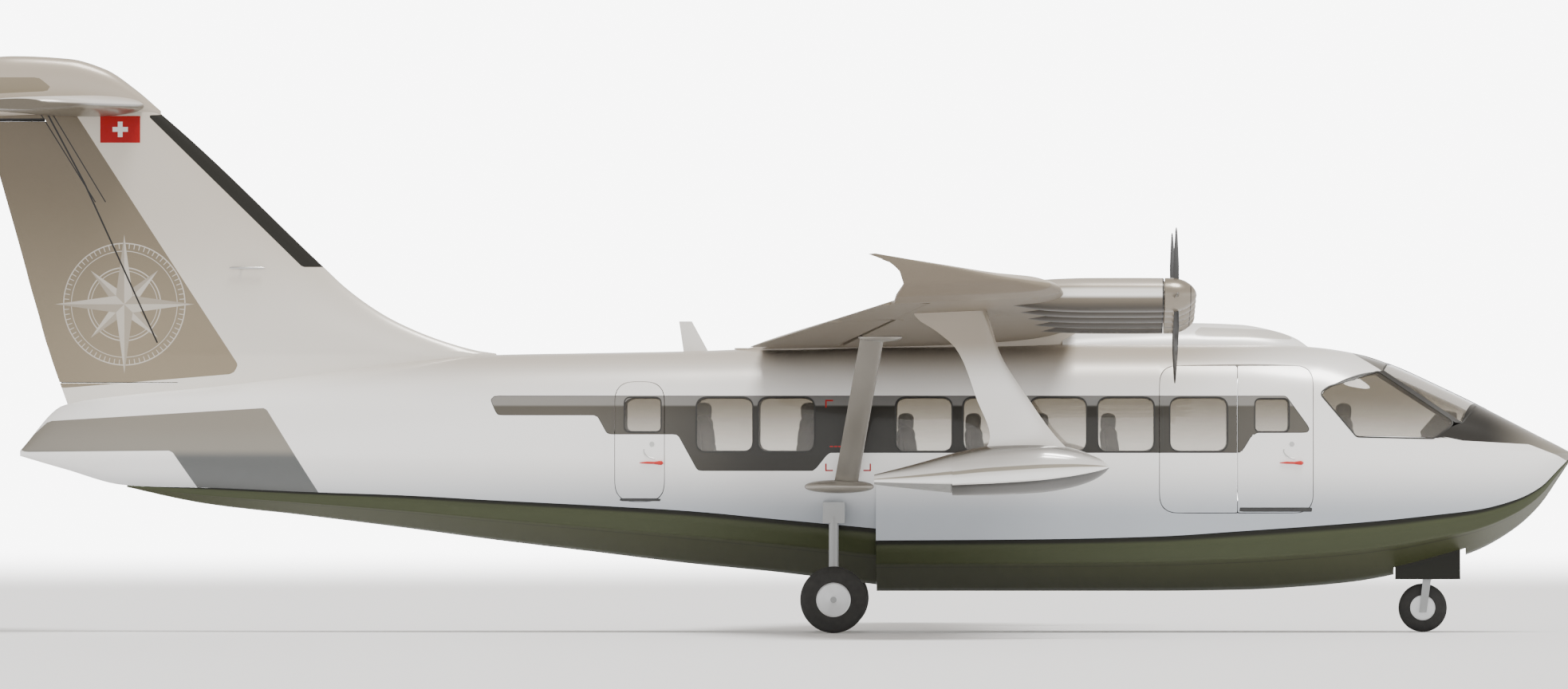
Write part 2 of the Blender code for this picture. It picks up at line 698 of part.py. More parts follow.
def hull_bottoms():
    """The forebody with the nose wheel's well and doors, and the afterbody behind the step."""
    forebody = planing_bottom("planing_bottom_forward", FOREBODY, STEP_X + 0.0015, FOREBODY[-1][0])
    combine(forebody, box("well", *WELL), "DIFFERENCE")
    for sign in (1, -1):
        edge = WELL[1][1] * sign
        low, high = sorted((edge, edge + WELL_DOOR_THICK * sign))
        (first, bottom), (last, top) = WELL_DOOR
        door = box("door", (first, low, bottom), (last, high, top))
        combine(forebody, door, "UNION")
    set_finish(forebody, "olive_paint")
    planing_bottom("planing_bottom_aft", AFTERBODY, AFTERBODY[2][0], STEP_X - 0.0015)


def floor_at(x):
    """The floor's level at x."""
    return [level for first, level in FLOOR if first <= x][-1]


def floor_line(drop):
    """The floor's stepped line in x and z, moved down by drop, with its risers moved in behind their faces."""
    line = [(FLOOR[0][0], FLOOR[0][1] - drop)]
    for (_, level), (x, after) in zip(FLOOR, FLOOR[1:]):
        riser = x + math.copysign(drop, after - level)
        line += [(riser, level - drop), (riser, after - drop)]
    return line + [(FLOOR_END, FLOOR[-1][1] - drop)]


def cabin_floor():
    """The floor with its cargo panel and the aft bulkhead, trimmed to the hull's inside."""
    upper, lower = floor_line(0.0), floor_line(FLOOR_THICK)
    back = upper[0][0] - FLOOR_THICK
    bulkhead = [(back, lower[0][1]), (back, BULKHEAD_TOP), (upper[0][0], BULKHEAD_TOP)]
    floor = prism("cabin_floor", upper + lower[:0:-1] + bulkhead, -1.2, 1.2)
    combine(floor, void_solid("cut", WALL + TOUCH), "INTERSECT")
    notch = box("notch", (POST_X[0] - 0.01, -1.2, 1.0), (POST_X[1] + 0.01, -0.97, 1.5))
    combine(floor, notch, "DIFFERENCE")
    combine(floor, box("panel", *CARGO_PANEL), "UNION")
    set_finish(floor, "cabin_trim")


def seat_solid(x, y, facing, floor):
    """One seat: a pedestal, a cushion, a raked back and a headrest, its outline carried across its width."""
    outline = [(x + facing * a, floor + b) for a, b in SEAT_SIDE]
    return prism("seat", outline, y - SEAT_HALF, y + SEAT_HALF)


def seats_of(side, columns):
    """One side's passenger seats, joined across by a bar and along the floor by rails and a tie."""
    rail_y = (columns[0] - RAIL_HALF, columns[0] + RAIL_HALF)
    seats = None
    for x, facing in SEAT_ROWS:
        low = floor_at(x) + TOUCH
        for y in columns:
            seat = seat_solid(x, y, facing, low)
            seats = seat if seats is None else combine(seats, seat, "UNION")
        if len(columns) > 1:
            first, last = sorted((x + 0.18 * facing, x + 0.30 * facing))
            bar = box("bar", (first, columns[0], low + 0.38), (last, columns[1], low + 0.46))
            combine(seats, bar, "UNION")
    for (_, level), group in zip(FLOOR[:2], (SEAT_ROWS[:2], SEAT_ROWS[2:])):
        ends = [x + facing * step for x, facing in group for step in (0.12, 0.34)]
        rail = box("rail", (min(ends), rail_y[0], level + TOUCH), (max(ends), rail_y[1], level + RAIL_HEIGHT))
        combine(seats, rail, "UNION")
    first, last = SEAT_ROWS[1][0] - 0.20, SEAT_ROWS[2][0] + 0.15
    tie = box("tie", (first, rail_y[0], FLOOR[0][1] + 0.01), (last, rail_y[1], FLOOR[0][1] + RAIL_HEIGHT))
    combine(seats, tie, "UNION")
    seats.name = f"cabin_seats_{side}"
    set_finish(seats, "seat_cloth")


def flight_deck():
    """The two crew seats on one base bar, and the instrument panel on its centre console."""
    (x, y), deck = CREW_SEATS, FLOOR[2][1] + TOUCH
    crew = seat_solid(x, y, 1, deck)
    combine(crew, seat_solid(x, -y, 1, deck), "UNION")
    combine(crew, box("bar", (x + 0.12, -y, deck), (x + 0.32, y, deck + 0.04)), "UNION")
    crew.name = "crew_seats"
    set_finish(crew, "seat_cloth")
    panel = prism("instrument_panel", PANEL_SIDE, -PANEL_HALF, PANEL_HALF)
    combine(panel, box("console", (6.95, -CONSOLE_HALF, deck), (7.26, CONSOLE_HALF, 2.05)), "UNION")
    combine(panel, box("arm", (7.20, -CONSOLE_HALF, 1.80), (7.45, CONSOLE_HALF, 2.1)), "UNION")
    combine(panel, void_solid("cut", WALL + 0.02), "INTERSECT")
    set_finish(panel, "dark_grey_paint")


def cabin():
    """All that stands in the cabin, and the battery below its floor."""
    cabin_floor()
    box("battery_pack", *BATTERY, finish="battery_case")
    for side, columns in SEAT_COLUMNS.items():
        seats_of(side, columns)
    flight_deck()


def airfoil(count=8):
    """Points round a cambered section, from the trailing edge over the top and back, as shares of chord."""
    spread = (1 - np.cos(np.linspace(0, math.pi, count))) / 2
    thick = 5 * (0.2969 * np.sqrt(spread) - 0.1260 * spread - 0.3516 * spread**2 + 0.2843 * spread**3
                 - 0.1036 * spread**4)
    bow = np.where(spread < 0.4, (0.8 * spread - spread**2) / 0.16, (0.2 + 0.8 * spread - spread**2) / 0.36)
    return spread, thick, bow


def wing_row(y):
    """The wing table's columns at a span place, in straight lines between its rows."""
    knots = [row[0] for row in WING]
    return [float(np.interp(y, knots, [row[c] for row in WING])) for c in range(1, 7)]


def wing_ring(y, puff=0.0, at_y=None):
    """The wing's section at a span place, thickened by puff all round."""
    lead_x, lead_z, trail_x, trail_z, share, cant = wing_row(y)
    spread, thick, bow = airfoil()
    chord = lead_x - trail_x
    lean = math.radians(cant)
    place = y if at_y is None else at_y
    ring = []
    for sign, order in ((1, slice(None, None, -1)), (-1, slice(1, None))):
        for s, t, b in zip(spread[order], thick[order], bow[order]):
            half = t * share * chord + TRAILING_THICK / 2 * s + puff
            rise = b * CAMBER * chord + sign * half
            x = lead_x - s * chord + puff * (1 - 2 * s)
            z = lead_z + (trail_z - lead_z) * s
            ring.append((x, place - rise * math.sin(lean), z + rise * math.cos(lean)))
    return ring


def wing_solid(name, puff=0.0):
    """The port wing panel from its root joint to the top of its upturned tip."""
    rows = [row[0] for row in WING]
    places = [rows[0], 4.1, 7.2] + rows[1:]
    return loft(name, [wing_ring(y, puff) for y in places])


def hinge_place(y):
    """A point on the wing's hinge line and the half thickness there."""
    lead_x, lead_z, trail_x, trail_z, share, _ = wing_row(y)
    chord = lead_x - trail_x
    s = SURFACE_HINGE
    thick = 5 * (0.2969 * math.sqrt(s) - 0.1260 * s - 0.3516 * s**2 + 0.2843 * s**3 - 0.1036 * s**4)
    bow = (0.2 + 0.8 * s - s * s) / 0.36
    half = thick * share * chord + TRAILING_THICK / 2 * s
    return Vector((lead_x - s * chord, y, lead_z + (trail_z - lead_z) * s + bow * CAMBER * chord)), half


def behind_hinge(name, first, last, radii, grow, reach, rise, relief=0.0):
    """All that lies behind a hinge line between two points on it, with a round nose of the given radii.

    Relief is the angle by which the lower edge starts ahead of the hinge line.
    """
    along = (last - first).normalized()
    aft = Vector((-1, 0, 0))
    aft = (aft - along * aft.dot(along)).normalized()
    up = along.cross(aft)
    rings = []
    for place, radius in ((first - along * grow, radii[0] + grow), (last + along * grow, radii[1] + grow)):
        nose = [place + up * radius * math.cos(t) - aft * radius * math.sin(t)
                for t in np.linspace(0, math.pi - relief, 9)]
        edge = place - aft * radius * math.sin(relief)
        rings.append([place + aft * reach + up * rise, place + up * rise, *nose, edge - up * rise,
                      place + aft * reach - up * rise])
    return loft(name, rings)


def pivot(first, last, end, radius):
    """A short boss on a hinge line that reaches from a fixed piece to 0.4 mm from the moving piece's end."""
    along = (last - first).normalized() * (1 if end == "last" else -1)
    start = last if end == "last" else first
    return tube("pivot", start + along * 0.0004, start + along * 0.03, radius, sides=10)


def movable(solid, name, first, last, radii, reach, rise, relief=0.0):
    """Parts a movable surface from a solid along a hinge line, and leaves its cove and pivots behind."""
    surface = duplicate(solid, name)
    combine(surface, behind_hinge("cut", first, last, radii, 0.0, reach, rise), "INTERSECT")
    combine(solid, behind_hinge("cut", first, last, radii, RUNNING, reach, rise, relief), "DIFFERENCE")
    for end, radius in zip(("first", "last"), radii):
        combine(solid, pivot(first, last, end, PIVOT_SHARE * radius), "UNION")
    return set_finish(surface, "white_paint")


def hang_pair(surface, mirrored_name, first):
    """Adds the starboard copy of a port surface, and hangs both at the first end of their hinge lines."""
    other = set_finish(mirrored(surface, mirrored_name), "white_paint")
    hang(surface, first)
    hang(other, (first[0], -first[1], first[2]))


def nacelle_z(y):
    return NACELLE_Z + (y - NACELLE_Y[0]) * NACELLE_RISE


def wings():
    """Both wing panels with their nacelles, flaps and ailerons, and the middle piece on the roof."""
    wing = wing_solid("wing_left")
    for y in NACELLE_Y:
        body = turned("nacelle", NACELLE_PROFILE, (0, y, nacelle_z(y)), (1, 0, 0), sides=12)
        shaft = [(x, y, nacelle_z(y)) for x in (NACELLE_FRONT - 0.05, SPINNER_BACK - 0.0004)]
        join_all(wing, body, tube("boss", *shaft, SHAFT_RADIUS, sides=8))
    for name, ends, relief in (("flap", FLAP_Y, FLAP_RELIEF), ("aileron", AILERON_Y, 0.0)):
        (first, first_half), (last, last_half) = (hinge_place(y) for y in ends)
        surface = movable(wing, f"{name}_left", first, last, (first_half, last_half), 1.4, 0.5, relief)
        hang_pair(surface, f"{name}_right", first)
    set_finish(wing, "white_paint")
    set_finish(mirrored(wing, "wing_right"), "white_paint")
    edge = WING_ROOT_Y - TOUCH
    middle = loft("wing_centre_section", [wing_ring(WING_ROOT_Y, 0.0, y) for y in (-edge, edge)])
    (first, bottom), (last, top) = PLINTH
    combine(middle, box("plinth", (first, -edge, bottom), (last, edge, top)), "UNION")
    combine(middle, body_solid("cut", -TOUCH), "DIFFERENCE")
    set_finish(middle, "white_paint")


def roof_pieces():
    """The long fairing ahead of the wing, and the blade aerial behind it."""
    rings = []
    for x, top, half in ROOF_FAIRING:
        rings.append([(x, half * math.cos(t), FAIRING_BASE + (top - FAIRING_BASE) * math.sin(t) ** 0.7)
                      for t in np.linspace(0, math.pi, 13)])
    fairing = loft("roof_fairing", rings)
    combine(fairing, body_solid("cut", -TOUCH), "DIFFERENCE")
    ring = wing_ring(WING_ROOT_Y, TOUCH, 0)
    combine(fairing, loft("cut", [[(x, y, z) for x, _, z in ring] for y in (-1, 1)]), "DIFFERENCE")
    set_finish(fairing, "white_paint")
    blade = prism("blade_aerial", AERIAL_SIDE, -AERIAL_HALF, AERIAL_HALF)
    combine(blade, body_solid("cut", -TOUCH), "DIFFERENCE")
    set_finish(blade, "white_paint")


def propeller(name, y):
    """A spinner with four twisted blades, in one piece on its shaft's axis."""
    z = nacelle_z(abs(y))
    made = turned(name, [(x - PROPELLER_X, r) for x, r in SPINNER_PROFILE], (0, 0, 0), (1, 0, 0), sides=12)
    section = ((0.5, 0.0), (0.1, 0.5), (-0.5, 0.0), (0.1, -0.5))
    for quarter in range(4):
        rings = []
        for radius, chord, thick, pitch in BLADE:
            lean = math.radians(pitch)
            ring = []
            for a, b in section:
                across, deep = a * chord, b * thick
                x = across * math.sin(lean) + deep * math.cos(lean)
                side = across * math.cos(lean) - deep * math.sin(lean)
                ring.append(Matrix.Rotation(quarter * math.pi / 2, 3, "X") @ Vector((x, side, radius)))
            rings.append(ring)
        combine(made, loft("blade", rings), "UNION")
    set_finish(made, "black_composite")
    made.location = (PROPELLER_X, y, z)
    return made


def propellers():
    """Five propellers on each wing, counted from the root."""
    for side, sign in sides_of(("left", "right")):
        for k, y in enumerate(NACELLE_Y, 1):
            propeller(f"propeller_{side}_{k}", sign * y)


def rounded_bar(name, first, last, chord, thick):
    """A bar with an elliptical section whose chord lies along X."""
    rings = []
    for p in (first, last):
        rings.append([(p[0] + chord / 2 * math.cos(t), p[1] + thick / 2 * math.sin(t), p[2])
                      for t in np.linspace(0, 2 * math.pi, 14, endpoint=False)])
    return loft(name, rings)


def pod(name, centre, half_sizes, steps=7, sides=12):
    """An egg-shaped fairing with its long axis along X."""
    a, b, c = half_sizes
    rings = []
    for t in np.linspace(0.08, math.pi - 0.08, steps):
        x, wide = centre[0] - a * math.cos(t), math.sin(t)
        rings.append([(x, centre[1] + b * wide * math.cos(u), centre[2] + c * wide * math.sin(u))
                      for u in np.linspace(0, 2 * math.pi, sides, endpoint=False)])
    return loft(name, rings)


def struts():
    """A lift strut from each side of the hull to the wing, with a fairing at each end."""
    strut = rounded_bar("lift_strut_left", STRUT_FOOT, STRUT_HEAD, *STRUT_SECTION)
    join_all(strut, pod("foot", *STRUT_FOOT_FAIRING), pod("head", *STRUT_HEAD_FAIRING))
    combine(strut, body_solid("cut", -TOUCH), "DIFFERENCE")
    combine(strut, wing_solid("cut", TOUCH), "DIFFERENCE")
    set_finish(strut, "white_paint")
    set_finish(mirrored(strut, "lift_strut_right"), "white_paint")


def float_solid(name, puff=0.0):
    """A wing float: a stepped V bottom under a domed deck."""
    rings = []
    for x, top, chine, keel, beam in FLOAT:
        high = top - chine
        half = [(beam, chine), (0.985 * beam, chine + 0.28 * high), (0.82 * beam, chine + 0.66 * high),
                (0.47 * beam, chine + 0.92 * high)]
        half = [(y + puff, z + puff * (z > chine)) for y, z in half]
        ring = [(0.0, keel - puff)] + half + [(0.0, top + puff)] + [(-y, z) for y, z in half[::-1]]
        rings.append([(x, FLOAT_Y + y, z) for y, z in ring])
    return loft(name, rings)


def floats():
    """The wing floats and the pylons that carry them."""
    rings = []
    for z, lead, trail in PYLON:
        spread, thick, _ = airfoil(7)
        chord = lead - trail
        port = [(lead - s * chord, FLOAT_Y + t * PYLON_THICK * chord + 0.004, z) for s, t in zip(spread, thick)]
        rings.append(port + [(x, 2 * FLOAT_Y - y, zz) for x, y, zz in port[::-1]])
    pylon = loft("float_pylon_left", rings)
    combine(pylon, wing_solid("cut", TOUCH), "DIFFERENCE")
    keep = box("cut", (1.0, FLOAT_Y - 1, 1.7), (3.8, FLOAT_Y + 1, PYLON_TOP))
    combine(pylon, keep, "INTERSECT")
    combine(pylon, float_solid("cut", TOUCH), "DIFFERENCE")
    set_finish(pylon, "white_paint")
    set_finish(mirrored(pylon, "float_pylon_right"), "white_paint")
    left = set_finish(float_solid("wing_float_left"), "silver_paint")
    set_finish(mirrored(left, "wing_float_right"), "silver_paint")


def symmetric_ring(lead, trail, thick, z, count=8):
    """A symmetric section in a level plane, its chord along X."""
    spread, half, _ = airfoil(count)
    chord = lead - trail
    port = [(lead - s * chord, h * thick + 0.004, z) for s, h in zip(spread, half)]
    return port + [(x, -y, zz) for x, y, zz in port[::-1]]


def tailplane_ring(y, lead, trail, puff=0.0):
    """The tailplane's section at a span place."""
    spread, half, _ = airfoil(8)
    chord = lead - trail
    upper = [(lead - s * chord + puff * (1 - 2 * s), y, h * TAILPLANE_THICK * chord + 0.003 + puff)
             for s, h in zip(spread, half)]
    return ([(x, yy, TAILPLANE_Z + h) for x, yy, h in upper]
            + [(x, yy, TAILPLANE_Z - h) for x, yy, h in upper[::-1]])


def tailplane_solid(name, puff=0.0):
    """The whole tailplane from tip to tip."""
    rows = [(-y, a, b) for y, a, b in TAILPLANE[:0:-1]] + list(TAILPLANE)
    return loft(name, [tailplane_ring(y, a, b, puff) for y, a, b in rows])


def tail():
    """The fin with its cap, the rudder, and the tailplane through the cap with its two elevators."""
    fin = loft("fin", [symmetric_ring(lead, trail, thick, z) for z, lead, trail, thick in FIN])
    first, last = (Vector((x, 0, z)) for x, z in RUDDER_HINGE)
    along = (last - first).normalized()
    low, high = first - along * 1.5, last + along * 1.0
    bottom, top = RUDDER_Z
    region = prism("region", ((-6.30, bottom), (-9.0, bottom), (-9.0, top), (-6.30, top)), -0.5, 0.5)
    below, above = bottom - RUDDER_END_GAP, top + RUDDER_END_GAP
    outline = ((-6.20, below), (-6.60, below), (-6.68, 2.40), (-9.0, 2.40), (-9.0, above), (-6.20, above))
    wide_region = prism("region", outline, -0.5, 0.5)
    rudder = duplicate(fin, "rudder")
    combine(rudder, behind_hinge("cut", low, high, RUDDER_RADIUS, 0.0, 3.0, 0.5), "INTERSECT")
    combine(rudder, region, "INTERSECT")
    cove = behind_hinge("cut", low, high, RUDDER_RADIUS, RUNNING, 3.0, 0.5)
    combine(cove, wide_region, "INTERSECT")
    combine(fin, cove, "DIFFERENCE")
    rudder_pivots(fin, rudder, first, last)
    cap = fin_cap()
    combine(fin, cap, "UNION")
    combine(fin, tailplane_solid("cut", 2 * TOUCH), "DIFFERENCE")
    combine(fin, body_solid("cut", -TOUCH), "DIFFERENCE")
    set_finish(fin, "white_paint")
    hang(set_finish(rudder, "dark_grey_paint"), first)
    tailplane = tailplane_solid("tailplane")
    hinge = [Vector((ELEVATOR_X, y, TAILPLANE_Z)) for y in ELEVATOR_Y]
    elevator = movable(tailplane, "elevator_left", *hinge, ELEVATOR_RADIUS, 0.9, 0.3)
    hang_pair(elevator, "elevator_right", hinge[0])
    mirror_tailplane(tailplane)
    set_finish(tailplane, "white_paint")


def mirror_tailplane(tailplane):
    """Gives the starboard half the same cove as the port half."""
    half = box("half", (-9.5, 0.0, 5.0), (-6.0, 4.0, 6.5))
    combine(tailplane, half, "INTERSECT")
    other = mirrored(tailplane, "other")
    combine(tailplane, other, "UNION")


def rudder_pivots(fin, rudder, first, last):
    """Round bosses on the hinge line that carry the rudder at both ends, face to face."""
    along = (last - first).normalized()
    bottom = first + along * ((RUDDER_Z[0] - first.z) / along.z)
    top = first + along * ((RUDDER_Z[1] - first.z) / along.z)
    for end, away in ((bottom, -along), (top, along)):
        meet = end + away * RUDDER_END_GAP / 2
        combine(rudder, tube("pin", end - away * 0.12, meet, RUDDER_PIN, sides=10), "UNION")
        combine(fin, tube("pin", meet + away * 0.0004, meet + away * 0.13, RUDDER_PIN, sides=10), "UNION")


def fin_cap():
    """The fairing that covers the joint between fin and tailplane."""
    rings = []
    for x, top, half in FIN_CAP:
        middle, high = (top + FIN_CAP_BOTTOM) / 2, (top - FIN_CAP_BOTTOM) / 2
        rings.append([
            (x, half * math.copysign(abs(math.cos(t)) ** 0.8, math.cos(t)),
             middle + high * math.copysign(abs(math.sin(t)) ** 0.8, math.sin(t)))
            for t in np.linspace(0, 2 * math.pi, 10, endpoint=False)
        ])
    return loft("cap", rings)


def wheel(name, x, y, radius, width):
    """A tyre on its rim, turned about the axle, with a bore for it."""
    half = width / 2
    flank = ((0.62, 0.50), (0.97, 0.66), (0.90, 0.88), (0.45, 1.0))
    profile = [(-half * a, radius * b) for a, b in flank] + [(half * a, radius * b) for a, b in flank[::-1]]
    made = turned(name, profile, (0, 0, 0), (0, 1, 0), sides=WHEEL_SIDES)
    for sign in (1, -1):
        cone = ((sign * half * 0.30, 0.36 * radius), (sign * half * 1.2, 0.46 * radius))
        combine(made, turned("dish", cone, (0, 0, 0), (0, 1, 0), sides=12), "DIFFERENCE")
    combine(made, tube("hub", (0, -half * 0.9, 0), (0, half * 0.9, 0), 0.17 * radius), "UNION")
    combine(made, tube("bore", (0, -width, 0), (0, width, 0), BORE_RADIUS, sides=16), "DIFFERENCE")
    set_finish(made, "tyre_rubber")
    made.location = (x, y, axle_height(radius))
    return made


def axle_height(radius):
    """The height of a wheel's axle when one of the tyre's flats is on the ground."""
    return radius * math.cos(math.pi / WHEEL_SIDES)


def nose_gear():
    """The nose leg on its plate in the well, with its steering fork and wheel."""
    top = WELL[1][2] - TOUCH
    leg = tube("nose_leg", (NOSE_X, 0, LEG_BOTTOM), (NOSE_X, 0, top - 0.012), LEG_RADIUS, sides=16)
    plate = box("plate", (NOSE_X - 0.33, -0.11, top - 0.04), (NOSE_X + 0.13, 0.11, top))
    brace = tube("brace", (NOSE_X + 0.01, 0, 0.80), (NOSE_X - 0.26, 0, top - 0.03), 0.026, sides=10)
    set_finish(join_all(leg, plate, brace), "gear_metal")
    axle_x, axle_z = NOSE_X - NOSE_TRAIL, axle_height(NOSE_RADIUS)
    reach = NOSE_WIDTH / 2 + TINE_GAP
    outside = reach + TINE_THICK
    fork = tube("nose_fork", (NOSE_X, 0, 0.60), (NOSE_X, 0, LEG_BOTTOM - 0.0004), 0.05, sides=16)
    low, high = FORK_CROWN
    combine(fork, box("crown", (NOSE_X - 0.055, -outside, low), (NOSE_X + 0.055, outside, high)), "UNION")
    tine = ((axle_x - 0.04, axle_z - 0.05), (axle_x + 0.04, axle_z - 0.05), (NOSE_X + 0.045, 0.61),
            (NOSE_X - 0.045, 0.61))
    for sides in ((reach, outside), (-outside, -reach)):
        combine(fork, prism("tine", tine, *sides), "UNION")
    end = outside - 0.01
    combine(fork, tube("axle", (axle_x, -end, axle_z), (axle_x, end, axle_z), AXLE_RADIUS, sides=16), "UNION")
    set_finish(fork, "gear_metal")
    wheel("nose_wheel", axle_x, 0.0, NOSE_RADIUS, NOSE_WIDTH)


def main_gear():
    """A cranked leg with a stub axle and a wheel on each side of the hull."""
    knee_y, knee_z = MAIN_KNEE
    beam = ((MAIN_X - 0.12, 0.92, knee_z - 0.13), (MAIN_X + 0.12, knee_y + 0.02, knee_z + 0.10))
    leg = box("main_leg_left", *beam)
    foot_y, axle_z = MAIN_Y - MAIN_WIDTH / 2 - 0.085, axle_height(MAIN_RADIUS)
    shin = tube("shin", (MAIN_X, knee_y - 0.04, knee_z), (MAIN_X, foot_y, axle_z + 0.02), LEG_RADIUS, sides=14)
    knuckle = box("knuckle", (MAIN_X - 0.07, foot_y - 0.055, axle_z - 0.07),
                  (MAIN_X + 0.07, foot_y + 0.06, axle_z + 0.09))
    axle_end = MAIN_Y + MAIN_WIDTH / 2 - 0.005
    axle = tube("axle", (MAIN_X, foot_y, axle_z), (MAIN_X, axle_end, axle_z), AXLE_RADIUS, sides=16)
    join_all(leg, shin, knuckle, axle)
    combine(leg, body_solid("cut", -TOUCH), "DIFFERENCE")
    set_finish(leg, "gear_metal")
    set_finish(mirrored(leg, "main_leg_right"), "gear_metal")
    for side, sign in sides_of(("left", "right")):
        wheel(f"main_wheel_{side}", MAIN_X, sign * MAIN_Y, MAIN_RADIUS, MAIN_WIDTH)


def build():
    """Clears the scene and builds every piece."""
    for old in list(bpy.data.objects):
        bpy.data.objects.remove(old)
    fuselage()
    doors()
    glazing()
    hull_bottoms()
    cabin()
    wings()
    roof_pieces()
    propellers()
    struts()
    floats()
    tail()
    nose_gear()
    main_gear()


build()
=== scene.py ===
import math

import bmesh
import bpy
import numpy as np
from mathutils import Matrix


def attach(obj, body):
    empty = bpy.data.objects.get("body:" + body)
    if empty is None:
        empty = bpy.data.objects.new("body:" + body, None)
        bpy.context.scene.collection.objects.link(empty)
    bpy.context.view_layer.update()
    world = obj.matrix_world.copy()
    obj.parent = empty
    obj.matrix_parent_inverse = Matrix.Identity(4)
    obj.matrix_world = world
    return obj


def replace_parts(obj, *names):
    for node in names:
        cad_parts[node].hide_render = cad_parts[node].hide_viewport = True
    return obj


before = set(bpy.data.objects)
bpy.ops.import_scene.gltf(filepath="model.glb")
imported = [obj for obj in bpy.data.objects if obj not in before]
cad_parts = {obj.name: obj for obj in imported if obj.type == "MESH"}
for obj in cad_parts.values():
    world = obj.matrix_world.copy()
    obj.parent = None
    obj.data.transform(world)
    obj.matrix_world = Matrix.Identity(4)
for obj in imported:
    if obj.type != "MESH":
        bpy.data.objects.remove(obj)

# The camera stands far off the starboard side and looks square at it through a long lens, as
# the photograph does, so the near wing is hardly larger than the far one.
FRAME_WIDTH = 17.2
AIM = (0.245, 0.0, 3.154)
LENS, SENSOR = 740.0, 36.0
CAMERA_X = 3.6
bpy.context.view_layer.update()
camera = bpy.data.objects.new("camera", bpy.data.cameras.new("camera"))
bpy.context.scene.collection.objects.link(camera)
bpy.context.scene.camera = camera
camera.data.lens, camera.data.sensor_width = LENS, SENSOR
camera.data.clip_start, camera.data.clip_end = 10.0, 2000.0
camera.location = (CAMERA_X, -FRAME_WIDTH * LENS / SENSOR, AIM[2])
camera.rotation_euler = (math.pi / 2, 0, math.atan2(CAMERA_X - AIM[0], FRAME_WIDTH * LENS / SENSOR))


# The floor of the studio is a wide pale disc that fades out at its rim into the even background, and the
# light comes from one broad soft lamp overhead and a graded sky all round the aircraft.
FLOOR_RADIUS, FLOOR_FADE = 150.0, 60.0


def mesh_piece(name, points, faces, *materials):
    """A mesh object from an array of points and the faces' corner numbers, shaded smooth."""
    mesh = bpy.data.meshes.new(name)
    mesh.from_pydata(np.asarray(points, float).reshape(-1, 3).tolist(), [], [tuple(f) for f in faces])
    mesh.shade_smooth()
    made = bpy.data.objects.new(name, mesh)
    bpy.context.scene.collection.objects.link(made)
    for finish in materials:
        mesh.materials.append(finish)
    return made


def grid_faces(rows, columns, wrap=False, start=0):
    """The quads between rows of points, each row closed on itself where wrap is true."""
    k, i = np.meshgrid(np.arange(rows - 1), np.arange(columns if wrap else columns - 1), indexing="ij")
    j = (i + 1) % columns
    low, high = k * columns, (k + 1) * columns
    return np.stack([low + i, low + j, high + j, high + i], -1).reshape(-1, 4) + start


